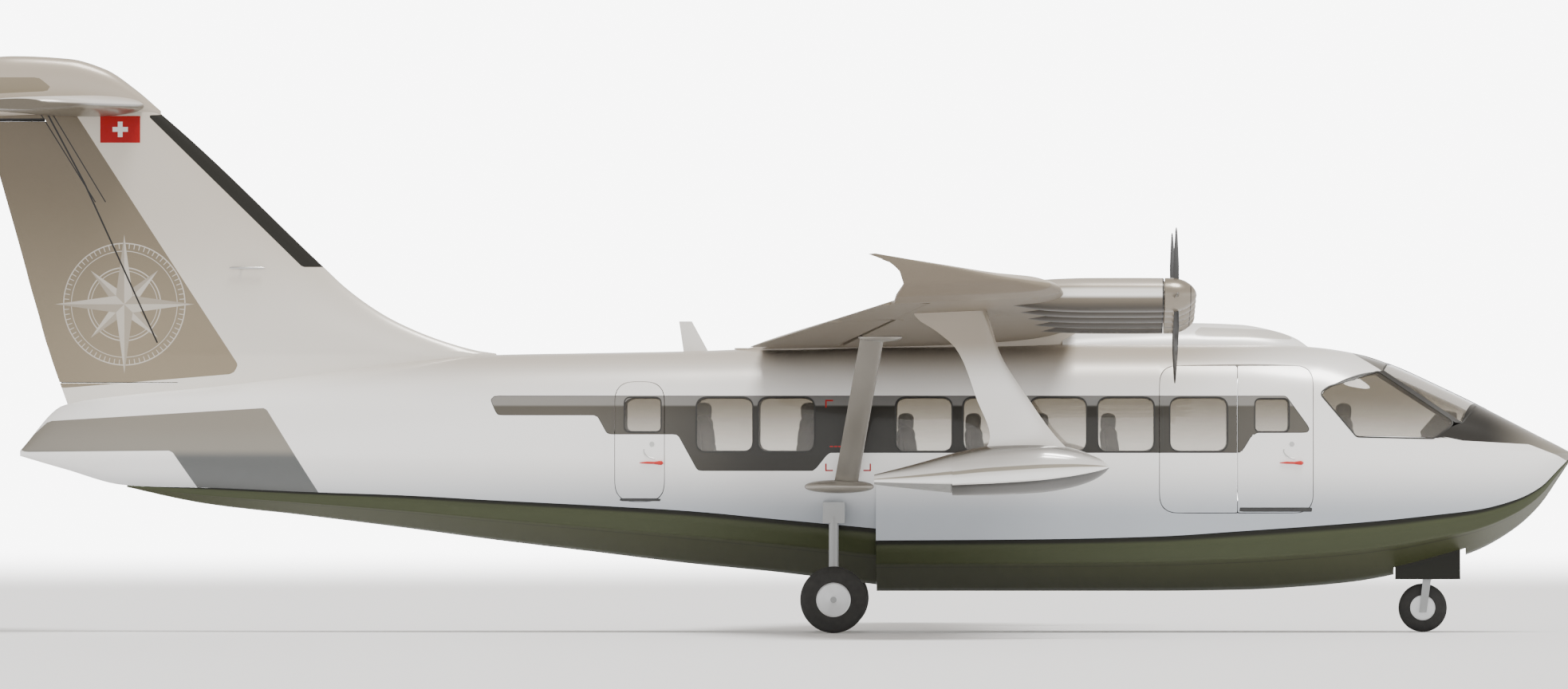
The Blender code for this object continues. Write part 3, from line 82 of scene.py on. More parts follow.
class Finish:
    """A node material under construction: each call adds one node and wires what it is given."""

    def __init__(self, name):
        """Makes the material and reads Object coordinates."""
        self.material = bpy.data.materials.new(name)
        self.material.use_nodes = True
        self.tree = self.material.node_tree
        self.shader = self.tree.nodes["Principled BSDF"]
        self.place = self.tree.nodes.new("ShaderNodeTexCoord").outputs["Object"]

    def put(self, socket, value):
        """Links a value that is a node's output, or sets one that is a number or a colour."""
        if isinstance(value, bpy.types.NodeSocket):
            self.tree.links.new(value, socket)
        elif isinstance(value, tuple) and len(value) == 3 and socket.type == "RGBA":
            socket.default_value = (*value, 1)
        else:
            socket.default_value = value

    def math(self, operation, *values):
        """One sum on numbers or outputs."""
        node = self.tree.nodes.new("ShaderNodeMath")
        node.operation = operation
        for socket, value in zip(node.inputs, values):
            self.put(socket, value)
        return node.outputs[0]

    def off(self, value, place):
        """The distance of a value from a place."""
        return self.math("ABSOLUTE", self.math("SUBTRACT", value, place))

    def axis(self, letter):
        """The place along one axis."""
        node = self.tree.nodes.new("ShaderNodeSeparateXYZ")
        self.put(node.inputs[0], self.place)
        return node.outputs[letter]

    def facing(self, letter):
        """The share of the surface's own normal along an axis, -1 to 1."""
        node = self.tree.nodes.new("ShaderNodeSeparateXYZ")
        self.put(node.inputs[0], self.tree.nodes.new("ShaderNodeTexCoord").outputs["Normal"])
        return node.outputs[letter]

    def mix(self, share, first, second):
        """The first colour where share is 0, the second where it is 1."""
        node = self.tree.nodes.new("ShaderNodeMix")
        node.data_type = "RGBA"
        self.put(node.inputs["Factor"], share)
        self.put(node.inputs["A"], first)
        self.put(node.inputs["B"], second)
        return node.outputs["Result"]

    def coats(self, ground, *layers):
        """Lays colours over a ground in turn, each as thick as its own share."""
        for share, colour in layers:
            ground = self.mix(share, ground, colour)
        return ground

    def fade(self, value, first, last, low=0.0, high=1.0):
        """A smooth change from low to high while value goes from first to last."""
        node = self.tree.nodes.new("ShaderNodeMapRange")
        node.interpolation_type = "SMOOTHSTEP"
        for name, number in (("Value", value), ("From Min", first), ("From Max", last), ("To Min", low),
                             ("To Max", high)):
            self.put(node.inputs[name], number)
        return node.outputs[0]

    def noise(self, scale, detail=3.0, stretch=(1, 1, 1)):
        """Noise on Object coordinates, stretched along an axis by a small number there."""
        mapping = self.tree.nodes.new("ShaderNodeMapping")
        self.put(mapping.inputs["Vector"], self.place)
        mapping.inputs["Scale"].default_value = stretch
        node = self.tree.nodes.new("ShaderNodeTexNoise")
        self.put(node.inputs["Vector"], mapping.outputs[0])
        node.inputs["Scale"].default_value = scale
        node.inputs["Detail"].default_value = detail
        return node.outputs[0]

    def attribute(self, name):
        """A number that the mesh stores on its points."""
        node = self.tree.nodes.new("ShaderNodeAttribute")
        node.attribute_name = name
        return node.outputs["Fac"]

    def inside(self, name, edge=0.002):
        """1 inside an outline whose signed distance the mesh holds as an attribute."""
        return self.fade(self.attribute(name), edge, -edge)

    def radius(self, a, b):
        """The length of the vector that has a and b as its parts."""
        squares = self.math("ADD", self.math("MULTIPLY", a, a), self.math("MULTIPLY", b, b))
        return self.math("SQRT", squares)

    def stroke(self, start, end, half):
        """1 on a line of the given half width between two points in x and z."""
        (ax, az), (bx, bz) = start, end
        long = math.hypot(bx - ax, bz - az)
        ux, uz = (bx - ax) / long, (bz - az) / long
        dx, dz = self.math("SUBTRACT", self.axis("X"), ax), self.math("SUBTRACT", self.axis("Z"), az)
        along = self.math("ADD", self.math("MULTIPLY", dx, ux), self.math("MULTIPLY", dz, uz))
        before, after = self.math("MULTIPLY", along, -1.0), self.math("SUBTRACT", along, long)
        past = self.math("MAXIMUM", self.math("MAXIMUM", before, after), 0.0)
        aside = self.math("SUBTRACT", self.math("MULTIPLY", dx, uz), self.math("MULTIPLY", dz, ux))
        off = self.radius(past, aside)
        return self.fade(off, half + 0.0015, half - 0.0015)

    def bump(self, height, distance, strength):
        """Tilts the surface by a height of up to distance metres."""
        node = self.tree.nodes.new("ShaderNodeBump")
        node.inputs["Distance"].default_value = distance
        node.inputs["Strength"].default_value = strength
        self.put(node.inputs["Height"], height)
        self.put(self.shader.inputs["Normal"], node.outputs[0])

    def set(self, **sockets):
        """Sets or links the shader's own sockets by name, and gives the material."""
        for name, value in sockets.items():
            self.put(self.shader.inputs[name.replace("_", " ")], value)
        return self.material


def grained(name, blotch, dark, light, grain, depth, strength, **sockets):
    """A material whose colour wanders from dark to light by one noise, with another as its bump."""
    made = Finish(name)
    made.bump(made.noise(*grain), depth, strength)
    return made.set(Base_Color=made.mix(made.noise(*blotch), dark, light), **sockets)


floor_finish = Finish("studio_floor")
far = floor_finish.radius(floor_finish.axis("X"), floor_finish.axis("Y"))
floor_finish.set(Base_Color=(0.86, 0.87, 0.89), Roughness=0.55,
                 Alpha=floor_finish.fade(far, FLOOR_FADE, FLOOR_RADIUS * 0.97, 1.0, 0.0))
turn = np.linspace(0, 2 * math.pi, 97)[:-1]
rings = np.stack([np.stack([r * np.cos(turn), r * np.sin(turn), 0 * turn], -1)
                  for r in np.linspace(0.5, FLOOR_RADIUS, 12)])
floor = mesh_piece("studio_floor", rings, [*grid_faces(12, 96, True).tolist(), list(range(95, -1, -1))],
                   floor_finish.material)
floor.data.flip_normals()

SKY = ((0.0, (0.42, 0.45, 0.50)), (0.40, (0.62, 0.65, 0.69)), (0.48, (1.0, 1.0, 1.0)),
       (0.56, (1.0, 1.0, 1.0)), (0.68, (0.50, 0.47, 0.43)), (1.0, (0.24, 0.22, 0.20)))
SKY_LIGHT, SKY_SEEN = 2.1, 8.0
world = bpy.data.worlds.new("studio")
bpy.context.scene.world = world
world.use_nodes = True
sky = world.node_tree
ramp = sky.nodes.new("ShaderNodeValToRGB")
while len(ramp.color_ramp.elements) < len(SKY):
    ramp.color_ramp.elements.new(0.5)
for element, (height, colour) in zip(ramp.color_ramp.elements, SKY):
    element.position, element.color = height, (*colour, 1)
upward = sky.nodes.new("ShaderNodeSeparateXYZ")
halve = sky.nodes.new("ShaderNodeMath")
halve.operation = "MULTIPLY_ADD"
halve.inputs[1].default_value = halve.inputs[2].default_value = 0.5
sky.links.new(sky.nodes.new("ShaderNodeTexCoord").outputs["Generated"], upward.inputs[0])
sky.links.new(upward.outputs["Z"], halve.inputs[0])
sky.links.new(halve.outputs[0], ramp.inputs[0])
sky.links.new(ramp.outputs[0], sky.nodes["Background"].inputs["Color"])
seen = sky.nodes.new("ShaderNodeMapRange")
seen.inputs["To Min"].default_value, seen.inputs["To Max"].default_value = SKY_LIGHT, SKY_SEEN
sky.links.new(sky.nodes.new("ShaderNodeLightPath").outputs["Is Camera Ray"], seen.inputs["Value"])
sky.links.new(seen.outputs[0], sky.nodes["Background"].inputs["Strength"])

SUN_STRENGTH, SUN_SPREAD, SUN_FROM = 4.4, 24.0, (0.22, -0.30, 1.0)
lamp = bpy.data.lights.new("overhead_panel", "SUN")
lamp.energy, lamp.angle, lamp.color = SUN_STRENGTH, math.radians(SUN_SPREAD), (1.0, 0.98, 0.95)
holder = bpy.data.objects.new("overhead_panel", lamp)
bpy.context.scene.collection.objects.link(holder)
holder.rotation_euler = (math.atan2(math.hypot(SUN_FROM[0], SUN_FROM[1]), SUN_FROM[2]), 0,
                         math.atan2(SUN_FROM[1], SUN_FROM[0]) + math.pi / 2)


# The hull's upper shell is moulded composite: a flared side below the shoulder line and a
# squarish arch above it, painted pearl white with a dark window band and a grey stern stripe.
SHOULDER_Z, SHOULDER_SHARE = 1.946, 0.30
WALL = 0.05
STEP_X, STEP_GAP, NOSE_X, CHINE_END_X = 1.26, 0.0015, 8.881, -6.965
# Columns: x, roof z, half width at the shoulder line, squareness of the arch
BODY = np.array((
    (-8.138, 1.990, 0.020, 2.0), (-7.656, 2.489, 0.130, 2.0), (-6.965, 2.603, 0.280, 2.1),
    (-6.081, 2.690, 0.440, 2.2), (-5.031, 2.813, 0.610, 2.3), (-3.981, 2.953, 0.770, 2.5),
    (-2.931, 3.040, 0.900, 2.8), (-1.881, 3.060, 0.990, 3.1), (-0.831, 3.080, 1.050, 3.3),
    (0.219, 3.119, 1.090, 3.3), (1.278, 3.158, 1.100, 3.3), (4.331, 3.171, 1.100, 3.3),
    (5.294, 3.163, 1.100, 3.3), (5.994, 3.130, 1.090, 3.1), (6.519, 3.055, 1.060, 2.8),
    (6.913, 2.931, 1.010, 2.6), (7.394, 2.716, 0.920, 2.4), (7.831, 2.506, 0.800, 2.3),
    (8.269, 2.283, 0.620, 2.2), (8.531, 2.148, 0.460, 2.1), (8.750, 2.038, 0.270, 2.0),
    (8.881, 1.966, 0.030, 2.0),
))
# Columns: x, chine z, chine half beam, keel z, before and behind the step
FOREBODY = np.array((
    (1.261, 1.010, 1.080, 0.450), (3.019, 1.023, 1.080, 0.450), (4.331, 1.054, 1.070, 0.450),
    (5.294, 1.115, 1.050, 0.463), (5.994, 1.163, 1.020, 0.503), (6.519, 1.203, 0.980, 0.555),
    (6.913, 1.238, 0.930, 0.625), (7.394, 1.290, 0.840, 0.748), (7.831, 1.343, 0.720, 0.888),
    (8.269, 1.456, 0.530, 1.141), (8.531, 1.588, 0.360, 1.386), (8.750, 1.800, 0.170, 1.701),
    (8.881, 1.930, 0.020, 1.900),
))
AFTERBODY = np.array((
    (-8.138, 1.930, 0.010, 1.903), (-7.656, 1.789, 0.015, 1.765), (-6.965, 1.609, 0.030, 1.590),
    (-6.081, 1.583, 0.190, 1.404), (-5.031, 1.539, 0.380, 1.281), (-3.981, 1.504, 0.550, 1.150),
    (-2.931, 1.448, 0.700, 1.010), (-1.881, 1.395, 0.820, 0.883), (-0.831, 1.334, 0.910, 0.756),
    (0.219, 1.238, 0.980, 0.651), (1.259, 1.141, 1.030, 0.520),
))
# Rounded side openings. Columns: first x, last x, bottom z, top z, corner radius
CABIN_WINDOWS = [(x, x + 0.61, 1.985, 2.572, 0.09) for x in (-0.700, -0.025, 1.479, 2.214, 2.949, 3.690)]
CARGO_WINDOW = (4.480, 5.101, 1.985, 2.572, 0.09)
DOORS = {"crew_door": (5.215, 6.046, 1.308, 2.926, 0.16), "cargo_door": (4.358, 5.215, 1.308, 2.926, 0.16),
         "rear_door": (-1.601, -1.050, 1.430, 2.751, 0.17)}
SIDE_WINDOW = ((6.12, 2.62), (6.52, 2.148), (7.36, 2.130), (7.60, 2.300), (6.76, 2.856), (6.21, 2.690))
WINDSHIELD = ((6.815, 2.868), (7.670, 2.300), (7.849, 2.515), (7.95, 2.58), (6.915, 3.02))
COCKPIT_OPENING = (*SIDE_WINDOW[:3], *WINDSHIELD[1:], WINDSHIELD[0], *SIDE_WINDOW[4:])
PILLAR = ((6.757, 2.858), (7.600, 2.298), (7.672, 2.298), (6.817, 2.871))
CENTRE_POST = 0.03
# Painted areas as outlines in x and z, each with its corner radius
BAND = (((-2.984, 2.594), (-2.888, 2.379), (-1.794, 2.379), (-1.680, 2.170), (-0.910, 2.170), (-0.691, 1.771),
         (0.586, 1.771), (0.744, 1.968), (5.259, 1.968), (5.390, 2.187), (6.046, 2.187), (5.749, 2.594)),
        0.06)
STERN_STRIPE = (((-7.823, 2.314), (-8.20, 1.973), (-6.466, 1.990), (-6.064, 1.404), (-6.02, 1.30),
                 (-4.72, 1.30), (-4.816, 1.474), (-5.430, 2.460)), 0.06)
NOSE_PANEL = (((7.333, 2.121), (8.409, 2.060), (8.724, 1.938), (9.010, 1.771), (9.010, 2.909), (7.919, 2.909),
               (7.858, 2.480), (7.621, 2.305)), 0.02)
BROW = (((6.470, 3.062), (6.550, 3.200), (7.000, 3.100), (6.930, 2.850), (6.773, 2.865)), 0.01)
SCREEN_EDGE = (((6.800, 2.885), (7.640, 2.290), (7.860, 2.440), (8.000, 2.600), (6.930, 3.060)), 0.01)
# Rescue cut-in marks as strokes from point to point
CUT_MARKS = (((0.714, 2.541), (0.714, 2.471)), ((0.714, 2.541), (0.784, 2.541)),
             ((0.714, 1.776), (0.714, 1.846)), ((0.714, 1.776), (0.784, 1.776)),
             ((1.199, 1.776), (1.129, 1.776)), ((1.199, 1.776), (1.199, 1.846)),
             ((0.762, 2.038), (0.785, 2.038)), ((0.810, 2.038), (0.833, 2.038)),
             ((0.855, 2.038), (0.868, 2.038)))


def curve_through(table, column, at):
    """A monotone cubic curve through one column of a table, read at places in its rising first column."""
    knots, values = table[:, 0], table[:, column]
    width = np.diff(knots)
    slope = np.diff(values) / width
    before, after = 2 * width[1:] + width[:-1], width[1:] + 2 * width[:-1]
    rising = slope[:-1] * slope[1:] > 0
    inner = np.where(rising, (before + after) / (before / np.where(rising, slope[:-1], 1)
                                                 + after / np.where(rising, slope[1:], 1)), 0.0)
    tangent = np.concatenate([slope[:1], inner, slope[-1:]])
    at = np.clip(at, knots[0], knots[-1])
    k = np.clip(np.searchsorted(knots, at, side="right") - 1, 0, len(width) - 1)
    t = (at - knots[k]) / width[k]
    return (values[k] * (1 + 2 * t) * (1 - t) ** 2 + tangent[k] * width[k] * t * (1 - t) ** 2
            + values[k + 1] * t * t * (3 - 2 * t) + tangent[k + 1] * width[k] * t * t * (t - 1))


def hull_sizes(x):
    """Roof height, half width, squareness, chine height and chine half beam at x."""
    x = np.asarray(x, float)
    bottom = [np.where(x > STEP_X, curve_through(FOREBODY, c, x), curve_through(AFTERBODY, c, x))
              for c in (1, 2)]
    return [curve_through(BODY, c, x) for c in (1, 2, 3)] + bottom


def hull_place(x, share):
    """Points on the port side, at shares of the way up from the chine to the roof's middle.

    Below the shoulder the side is a parabola, and above it a superellipse read by its angle.
    """
    roof, width, square, chine, beam = hull_sizes(x)
    drop = np.clip(1 - share / SHOULDER_SHARE, 0, 1)
    angle = np.clip((share - SHOULDER_SHARE) / (1 - SHOULDER_SHARE), 0, 1) * math.pi / 2
    cosine, sine = np.maximum(np.cos(angle), 0), np.sin(angle)
    ray = (cosine**square + sine**square) ** (-1 / square)
    y = np.where(drop > 0, width - (width - beam) * drop**2, width * ray * cosine)
    z = np.where(drop > 0, SHOULDER_Z + (chine - SHOULDER_Z) * drop,
                 SHOULDER_Z + (roof - SHOULDER_Z) * ray * sine)
    return np.stack([x + 0 * share, y, z], -1)


def hull_normal(x, share):
    """The outward normal there, from small steps along both directions."""
    step = 1e-4
    low, high = np.maximum(share - step, 0), np.minimum(share + step, 1)
    along = hull_place(x + step, share) - hull_place(x - step, share)
    up = hull_place(x, high) - hull_place(x, low)
    normal = np.cross(up, along)
    return normal / np.maximum(np.linalg.norm(normal, axis=-1, keepdims=True), 1e-12)


def hull_share(x, z):
    """The share at which the side reaches a height, kept off the windshield's centre post."""
    roof, width, square, chine, _ = hull_sizes(x)
    high = np.clip((z - SHOULDER_Z) / (roof - SHOULDER_Z), 0, 1)
    angle = np.arctan2(high, (1 - high**square) ** (1 / square))
    post = 1 - 2 / math.pi * np.arcsin(CENTRE_POST / width)
    upper = SHOULDER_SHARE + (1 - SHOULDER_SHARE) * np.minimum(angle * 2 / math.pi, post)
    return np.where(z > SHOULDER_Z, upper, SHOULDER_SHARE * (1 - (z - SHOULDER_Z) / (chine - SHOULDER_Z)))


def rounded_outline(corners, radius, steps=5):
    """A closed outline with each corner replaced by an arc, as points in order."""
    corners = np.array(corners, float)
    back, ahead = np.roll(corners, 1, 0) - corners, np.roll(corners, -1, 0) - corners
    back_length, ahead_length = np.linalg.norm(back, axis=1), np.linalg.norm(ahead, axis=1)
    back, ahead = back / back_length[:, None], ahead / ahead_length[:, None]
    half = np.arccos(np.clip((back * ahead).sum(1), -1, 1)) / 2
    cut = np.minimum(np.broadcast_to(radius, len(corners)) / np.tan(half),
                     0.45 * np.minimum(back_length, ahead_length))
    t = np.linspace(0, 1, steps)[None, :, None]
    first, last = corners + back * cut[:, None], corners + ahead * cut[:, None]
    arc = (1 - t) ** 2 * first[:, None] + t**2 * last[:, None] + 2 * t * (1 - t) * corners[:, None]
    return arc.reshape(-1, 2)


def box_outline(first, last, low, high, radius, square=None):
    """A rectangle with round corners, those at the side given as square kept nearly sharp."""
    radii = np.full(4, radius * 1.25)
    if square:
        radii[[0, 3] if square == "aft" else [1, 2]] = 0.012
    return rounded_outline(((first, low), (last, low), (last, high), (first, high)), radii, 7)


def signed_distance(points, outline):
    """Distance in x and z from an outline, negative inside it."""
    start, end = outline, np.roll(outline, -1, 0)
    best, crossings = np.full(len(points), 1e9), np.zeros(len(points), int)
    for (ax, az), (bx, bz) in zip(start, end):
        dx, dz = bx - ax, bz - az
        px, pz = points[:, 0] - ax, points[:, 1] - az
        t = np.clip((px * dx + pz * dz) / max(dx * dx + dz * dz, 1e-12), 0, 1)
        best = np.minimum(best, np.hypot(px - t * dx, pz - t * dz))
        if abs(dz) > 1e-12:
            crossings += ((az > points[:, 1]) != (bz > points[:, 1])) & (px < dx * pz / dz)
    return np.where(crossings % 2 == 1, -best, best)


def points_of(mesh):
    """A mesh's points as rows of an array."""
    places = np.empty(len(mesh.vertices) * 3, np.float32)
    mesh.vertices.foreach_get("co", places)
    return places.reshape(-1, 3).astype(float)


def store(piece, name, values):
    """Keeps one number for each of a piece's points, for its finish to read."""
    layer = piece.data.attributes.new(name, "FLOAT", "POINT")
    layer.data.foreach_set("value", np.asarray(values, np.float32))


def paint_areas(piece, **areas):
    """Stores each painted area's signed distance on a piece's points, for its finish to read."""
    places = points_of(piece.data)[:, [0, 2]]
    for name, (corners, radius) in areas.items():
        store(piece, name, signed_distance(places, rounded_outline(corners, radius)))


def grid_lines(low, high, fixed, cell, merge):
    """Places from low to high with the fixed ones among them, at most a cell apart."""
    marks = [low]
    for mark in sorted(f for f in fixed if low + merge < f < high - merge) + [high]:
        if mark - marks[-1] > merge:
            marks.append(mark)
    spans = [np.linspace(a, b, max(1, math.ceil((b - a) / cell)), endpoint=False)
             for a, b in zip(marks, marks[1:])]
    return np.concatenate(spans + [np.array([high])])


def block_loop(i0, i1, j0, j1, columns):
    """The points round a block of a grid, from its first corner along its low side and back."""
    i, j = np.arange(i0, i1), np.arange(j0, j1)
    return np.concatenate([i * columns + j0, i1 * columns + j, i[::-1] * columns + columns + j1,
                           i0 * columns + j[::-1] + 1])


def lengths_round(outline):
    """An outline closed on itself, and each point's distance along it."""
    closed = np.concatenate([outline, outline[:1]])
    return closed, np.concatenate([[0], np.cumsum(np.linalg.norm(np.diff(closed, axis=0), axis=1))])


def read_round(closed, length, places):
    """The points of a closed outline at distances along it."""
    return np.stack([np.interp(places, length, closed[:, k]) for k in (0, 1)], -1)


def hull_sheet(holes, span, cells, depth=0.0, lip=WALL):
    """Points and quads of the port side between two places, with a rim turned in round each opening.

    Each opening has a block of the grid to itself, which is left out and filled with a ring of
    quads from the block's edge to the opening's outline, all of it on the hull's surface.
    """
    blocks = [(*(hole.min(0) - (0.028, 0.011)), *(hole.max(0) + (0.028, 0.011))) for hole in holes]
    x_lines = grid_lines(*span, [b[k] for b in blocks for k in (0, 2)] + [STEP_X - 0.001, STEP_X + 0.001],
                         cells[0], 0.0015)
    s_lines = grid_lines(0, 1, [b[k] for b in blocks for k in (1, 3)] + [SHOULDER_SHARE], cells[1], 0.004)
    x, share = (a.ravel() for a in np.meshgrid(x_lines, s_lines, indexing="ij"))
    columns = len(s_lines)
    keep = np.ones((len(x_lines) - 1, columns - 1), bool)
    faces, extra, rims = [], [], []
    total = len(x)
    for hole, (x0, s0, x1, s1) in zip(holes, blocks):
        i0, i1 = (int(np.abs(x_lines - v).argmin()) for v in (x0, x1))
        j0, j1 = (int(np.abs(s_lines - v).argmin()) for v in (s0, s1))
        keep[i0:i1, j0:j1] = False
        loop = block_loop(i0, i1, j0, j1, columns)
        counts = (i1 - i0, j1 - j0, i1 - i0, j1 - j0)
        edge = outline_by_sides(hole, counts)
        here = np.stack([x[loop], share[loop]], -1)
        middle = (edge + here) / 2
        extra += [middle, edge]
        ids = np.stack([loop, total + np.arange(len(loop)), total + len(loop) + np.arange(len(loop))])
        total += 2 * len(loop)
        faces.append(ids[:, None].ravel()[grid_faces(3, len(loop), True)])
        rims.append(ids[2])
    if extra:
        x, share = (np.concatenate([a, np.concatenate(extra)[:, k]]) for k, a in enumerate((x, share)))
    points = hull_place(x, share) - depth * hull_normal(x, share)
    quads = grid_faces(len(x_lines), columns)[keep.ravel()]
    faces = [quads[:, ::-1]] + [f[:, ::-1] for f in faces]
    for rim in rims:
        turned_in = points[rim] - lip * hull_normal(x[rim], share[rim])
        inner = len(points) + np.arange(len(rim))
        points = np.concatenate([points, turned_in])
        faces.append(np.stack([rim, np.roll(rim, -1), np.roll(inner, -1), inner], -1)[:, ::-1])
    return points, np.concatenate(faces), len(x_lines), columns


def outline_by_sides(outline, counts):
    """An outline's points shared out over four sides, from its lower aft corner, anticlockwise."""
    scaled = (outline - outline.mean(0)) / np.ptp(outline, axis=0)
    corners = [int((scaled @ (a, b)).argmax()) for a, b in ((-1, -1), (1, -1), (1, 1), (-1, 1))]
    closed, length = lengths_round(outline)
    marks = [length[c] for c in corners] + [length[corners[0]]]
    places = []
    for count, start, end in zip(counts, marks, marks[1:]):
        end += length[-1] * (end <= start)
        places.append(np.linspace(start, end, count, endpoint=False))
    return read_round(closed, length, np.concatenate(places) % length[-1])


def on_hull(outline):
    """An outline in x and z as one in x and share."""
    return np.stack([outline[:, 0], hull_share(outline[:, 0], outline[:, 1])], -1)


def port_and_starboard(port, starboard):
    """Joins a port sheet with a starboard one, which is worked out on the port side and turned over."""
    (p, pf), (s, sf) = port, starboard
    return np.concatenate([p, s * (1, -1, 1)]), np.concatenate([pf, sf[:, ::-1] + len(p)])


def closed_hull(name, sheets, finish, inward=False):
    """A piece of a port and a starboard sheet, closed across both ends, its faces turned in where asked."""
    points, faces = port_and_starboard(*[(p, f[:, ::-1] if inward else f) for p, f, _, _ in sheets])
    (places, _, rows, columns), (_, _, other_rows, other_columns) = sheets
    faces = faces.tolist()
    for end in (False, True):
        port = np.arange(columns) + end * (rows - 1) * columns
        starboard = len(places) + np.arange(other_columns) + end * (other_rows - 1) * other_columns
        ring = [port[::-1], starboard[1:]] if end != inward else [port, starboard[-2::-1]]
        faces.append(np.concatenate(ring).tolist())
    return mesh_piece(name, points, faces, finish)


def weld(piece, crease=32):
    """Merges points that coincide, turns the faces outwards and keeps edges sharper than crease."""
    work = bmesh.new()
    work.from_mesh(piece.data)
    bmesh.ops.remove_doubles(work, verts=work.verts, dist=2e-5)
    bmesh.ops.recalc_face_normals(work, faces=work.faces)
    work.to_mesh(piece.data)
    work.free()
    piece.data.shade_smooth()
    piece.data.set_sharp_from_angle(angle=math.radians(crease))
    return piece


WHITE, WARM_SHADE, COOL_REFLECTION = (0.92, 0.915, 0.905), (0.40, 0.350, 0.285), (0.37, 0.405, 0.45)
BAND_SHADOW_GREY, BAND_LIGHT, STRIPE_GREY = (0.020, 0.0185, 0.0155), (0.085, 0.078, 0.065), (0.22, 0.205, 0.175)
STRIPE_SHADE_GREY, MARK_RED = (0.10, 0.105, 0.105), (0.33, 0.004, 0.004)
PANEL_GREY, TAN, BROW_GREY = (0.022, 0.021, 0.019), (0.22, 0.185, 0.13), (0.10, 0.094, 0.082)
EDGE_BLACK = (0.012, 0.011, 0.010)
BAND_SHADOW_MIDDLE = 1.9


def pearl_paint(name, *areas, warm_shade_from=2.7, marks=()):
    """Pearl white paint, a warm painted shade above and a cool painted reflection below, with painted areas
    by name and colour, and marks in red.

    The painted shade grows with height and its start wanders with a slow noise. It starts higher towards the
    bow.
    """
    made = Finish(name)
    height = made.axis("Z")
    cloud = made.noise(0.35, 2.0, (0.35, 1, 1))
    # Painted light: a cool painted reflection low on the side, and a warm painted shade that grows with
    # height
    ground = made.mix(made.fade(height, 1.95, 1.25), WHITE, COOL_REFLECTION)
    forward = made.fade(made.axis("X"), 4.2, 6.4, 0.0, -0.40)
    warm_shade_height = made.math("ADD", made.math("MULTIPLY_ADD", cloud, 0.5, height), forward)
    ground = made.mix(made.fade(warm_shade_height, warm_shade_from, warm_shade_from + 0.75), ground, WARM_SHADE)
    ground = made.mix(made.math("MULTIPLY", made.noise(900.0, 1.0), 0.05), ground, (1.0, 1.0, 1.0))
    for area, colour in areas:
        if area == "band":
            # The band is painted darker about its middle, under the wing, as the wing's painted shadow, and
            # lighter along its top as a painted reflection
            far = made.off(made.axis("X"), BAND_SHADOW_MIDDLE)
            colour = made.mix(made.fade(far, 1.6, 4.2), BAND_SHADOW_GREY, BAND_LIGHT)
            colour = made.mix(made.fade(height, 2.47, 2.50), colour, made.mix(0.16, colour, WHITE))
            outline = made.math("ABSOLUTE", made.attribute(area))
            colour = made.mix(made.fade(outline, 0.009, 0.005), colour, EDGE_BLACK)
        if area == "nose_panel":
            colour = made.mix(made.fade(made.axis("X"), 7.9, 8.8), colour, STRIPE_GREY)
        if area == "stern_stripe":
            # The stern stripe is painted darker below the shoulder line, as painted shade where the side
            # turns down
            colour = made.mix(made.fade(height, 2.02, 1.90), colour, STRIPE_SHADE_GREY)
        ground = made.mix(made.inside(area, 0.003), ground, colour)
    ground = made.coats(ground, *[(made.stroke(start, end, 0.008), MARK_RED) for start, end in marks])
    made.bump(made.noise(2.2, 2.0), 0.004, 0.25)
    return made.set(Base_Color=ground, Roughness=0.3, Metallic=0.2, Specular_IOR_Level=0.3, Coat_Weight=0.25,
                    Coat_Roughness=0.06)


hull_paint = pearl_paint("hull_paint", ("band", BAND_SHADOW_GREY), ("stern_stripe", STRIPE_GREY),
                         ("nose_panel", PANEL_GREY), ("brow", BROW_GREY),
                         ("screen_edge", (0.012, 0.012, 0.011)), marks=CUT_MARKS)
HULL_AREAS = {"band": BAND, "stern_stripe": STERN_STRIPE, "nose_panel": NOSE_PANEL, "brow": BROW,
              "screen_edge": SCREEN_EDGE}
windows = [on_hull(box_outline(*w)) for w in CABIN_WINDOWS]
cockpit = [on_hull(rounded_outline(COCKPIT_OPENING, (0.06,) * 3 + (0.01,) * 5 + (0.06,) * 2, 7))]
rear = [on_hull(box_outline(*DOORS["rear_door"]))]
both_doors = (DOORS["cargo_door"][0], *DOORS["crew_door"][1:])
port_holes = windows + cockpit + rear + [on_hull(box_outline(*CARGO_WINDOW)),
                                         on_hull(box_outline(*DOORS["crew_door"]))]
starboard_holes = windows + cockpit + rear + [on_hull(box_outline(*both_doors))]
SPAN = (BODY[0, 0], BODY[-1, 0])
sheets = [hull_sheet(holes, SPAN, (0.05, 0.017)) for holes in (port_holes, starboard_holes)]
hull_shell = weld(closed_hull("hull_skin", sheets, hull_paint))
paint_areas(hull_shell, **HULL_AREAS)
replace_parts(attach(hull_shell, "airframe"), "fuselage_shell", "tail_cone")


def skin(name, rings, *materials, ends=True, crease=32):
    """A closed skin over rings of points, which are rows of one array, with its two ends filled."""
    rings = np.asarray(rings, float)
    count, around = rings.shape[:2]
    faces = grid_faces(count, around, True).tolist()
    if ends:
        faces += [list(range(around))[::-1], list(range((count - 1) * around, count * around))]
    return weld(mesh_piece(name, rings, faces, *materials), crease)


def loop_skin(name, rings, finish, crease=32):
    """A closed skin over rings of points, the last of them joined to the first."""
    count, around = np.shape(rings)[:2]
    faces = grid_faces(count + 1, around, True) % (count * around)
    return weld(mesh_piece(name, rings, faces, finish), crease)


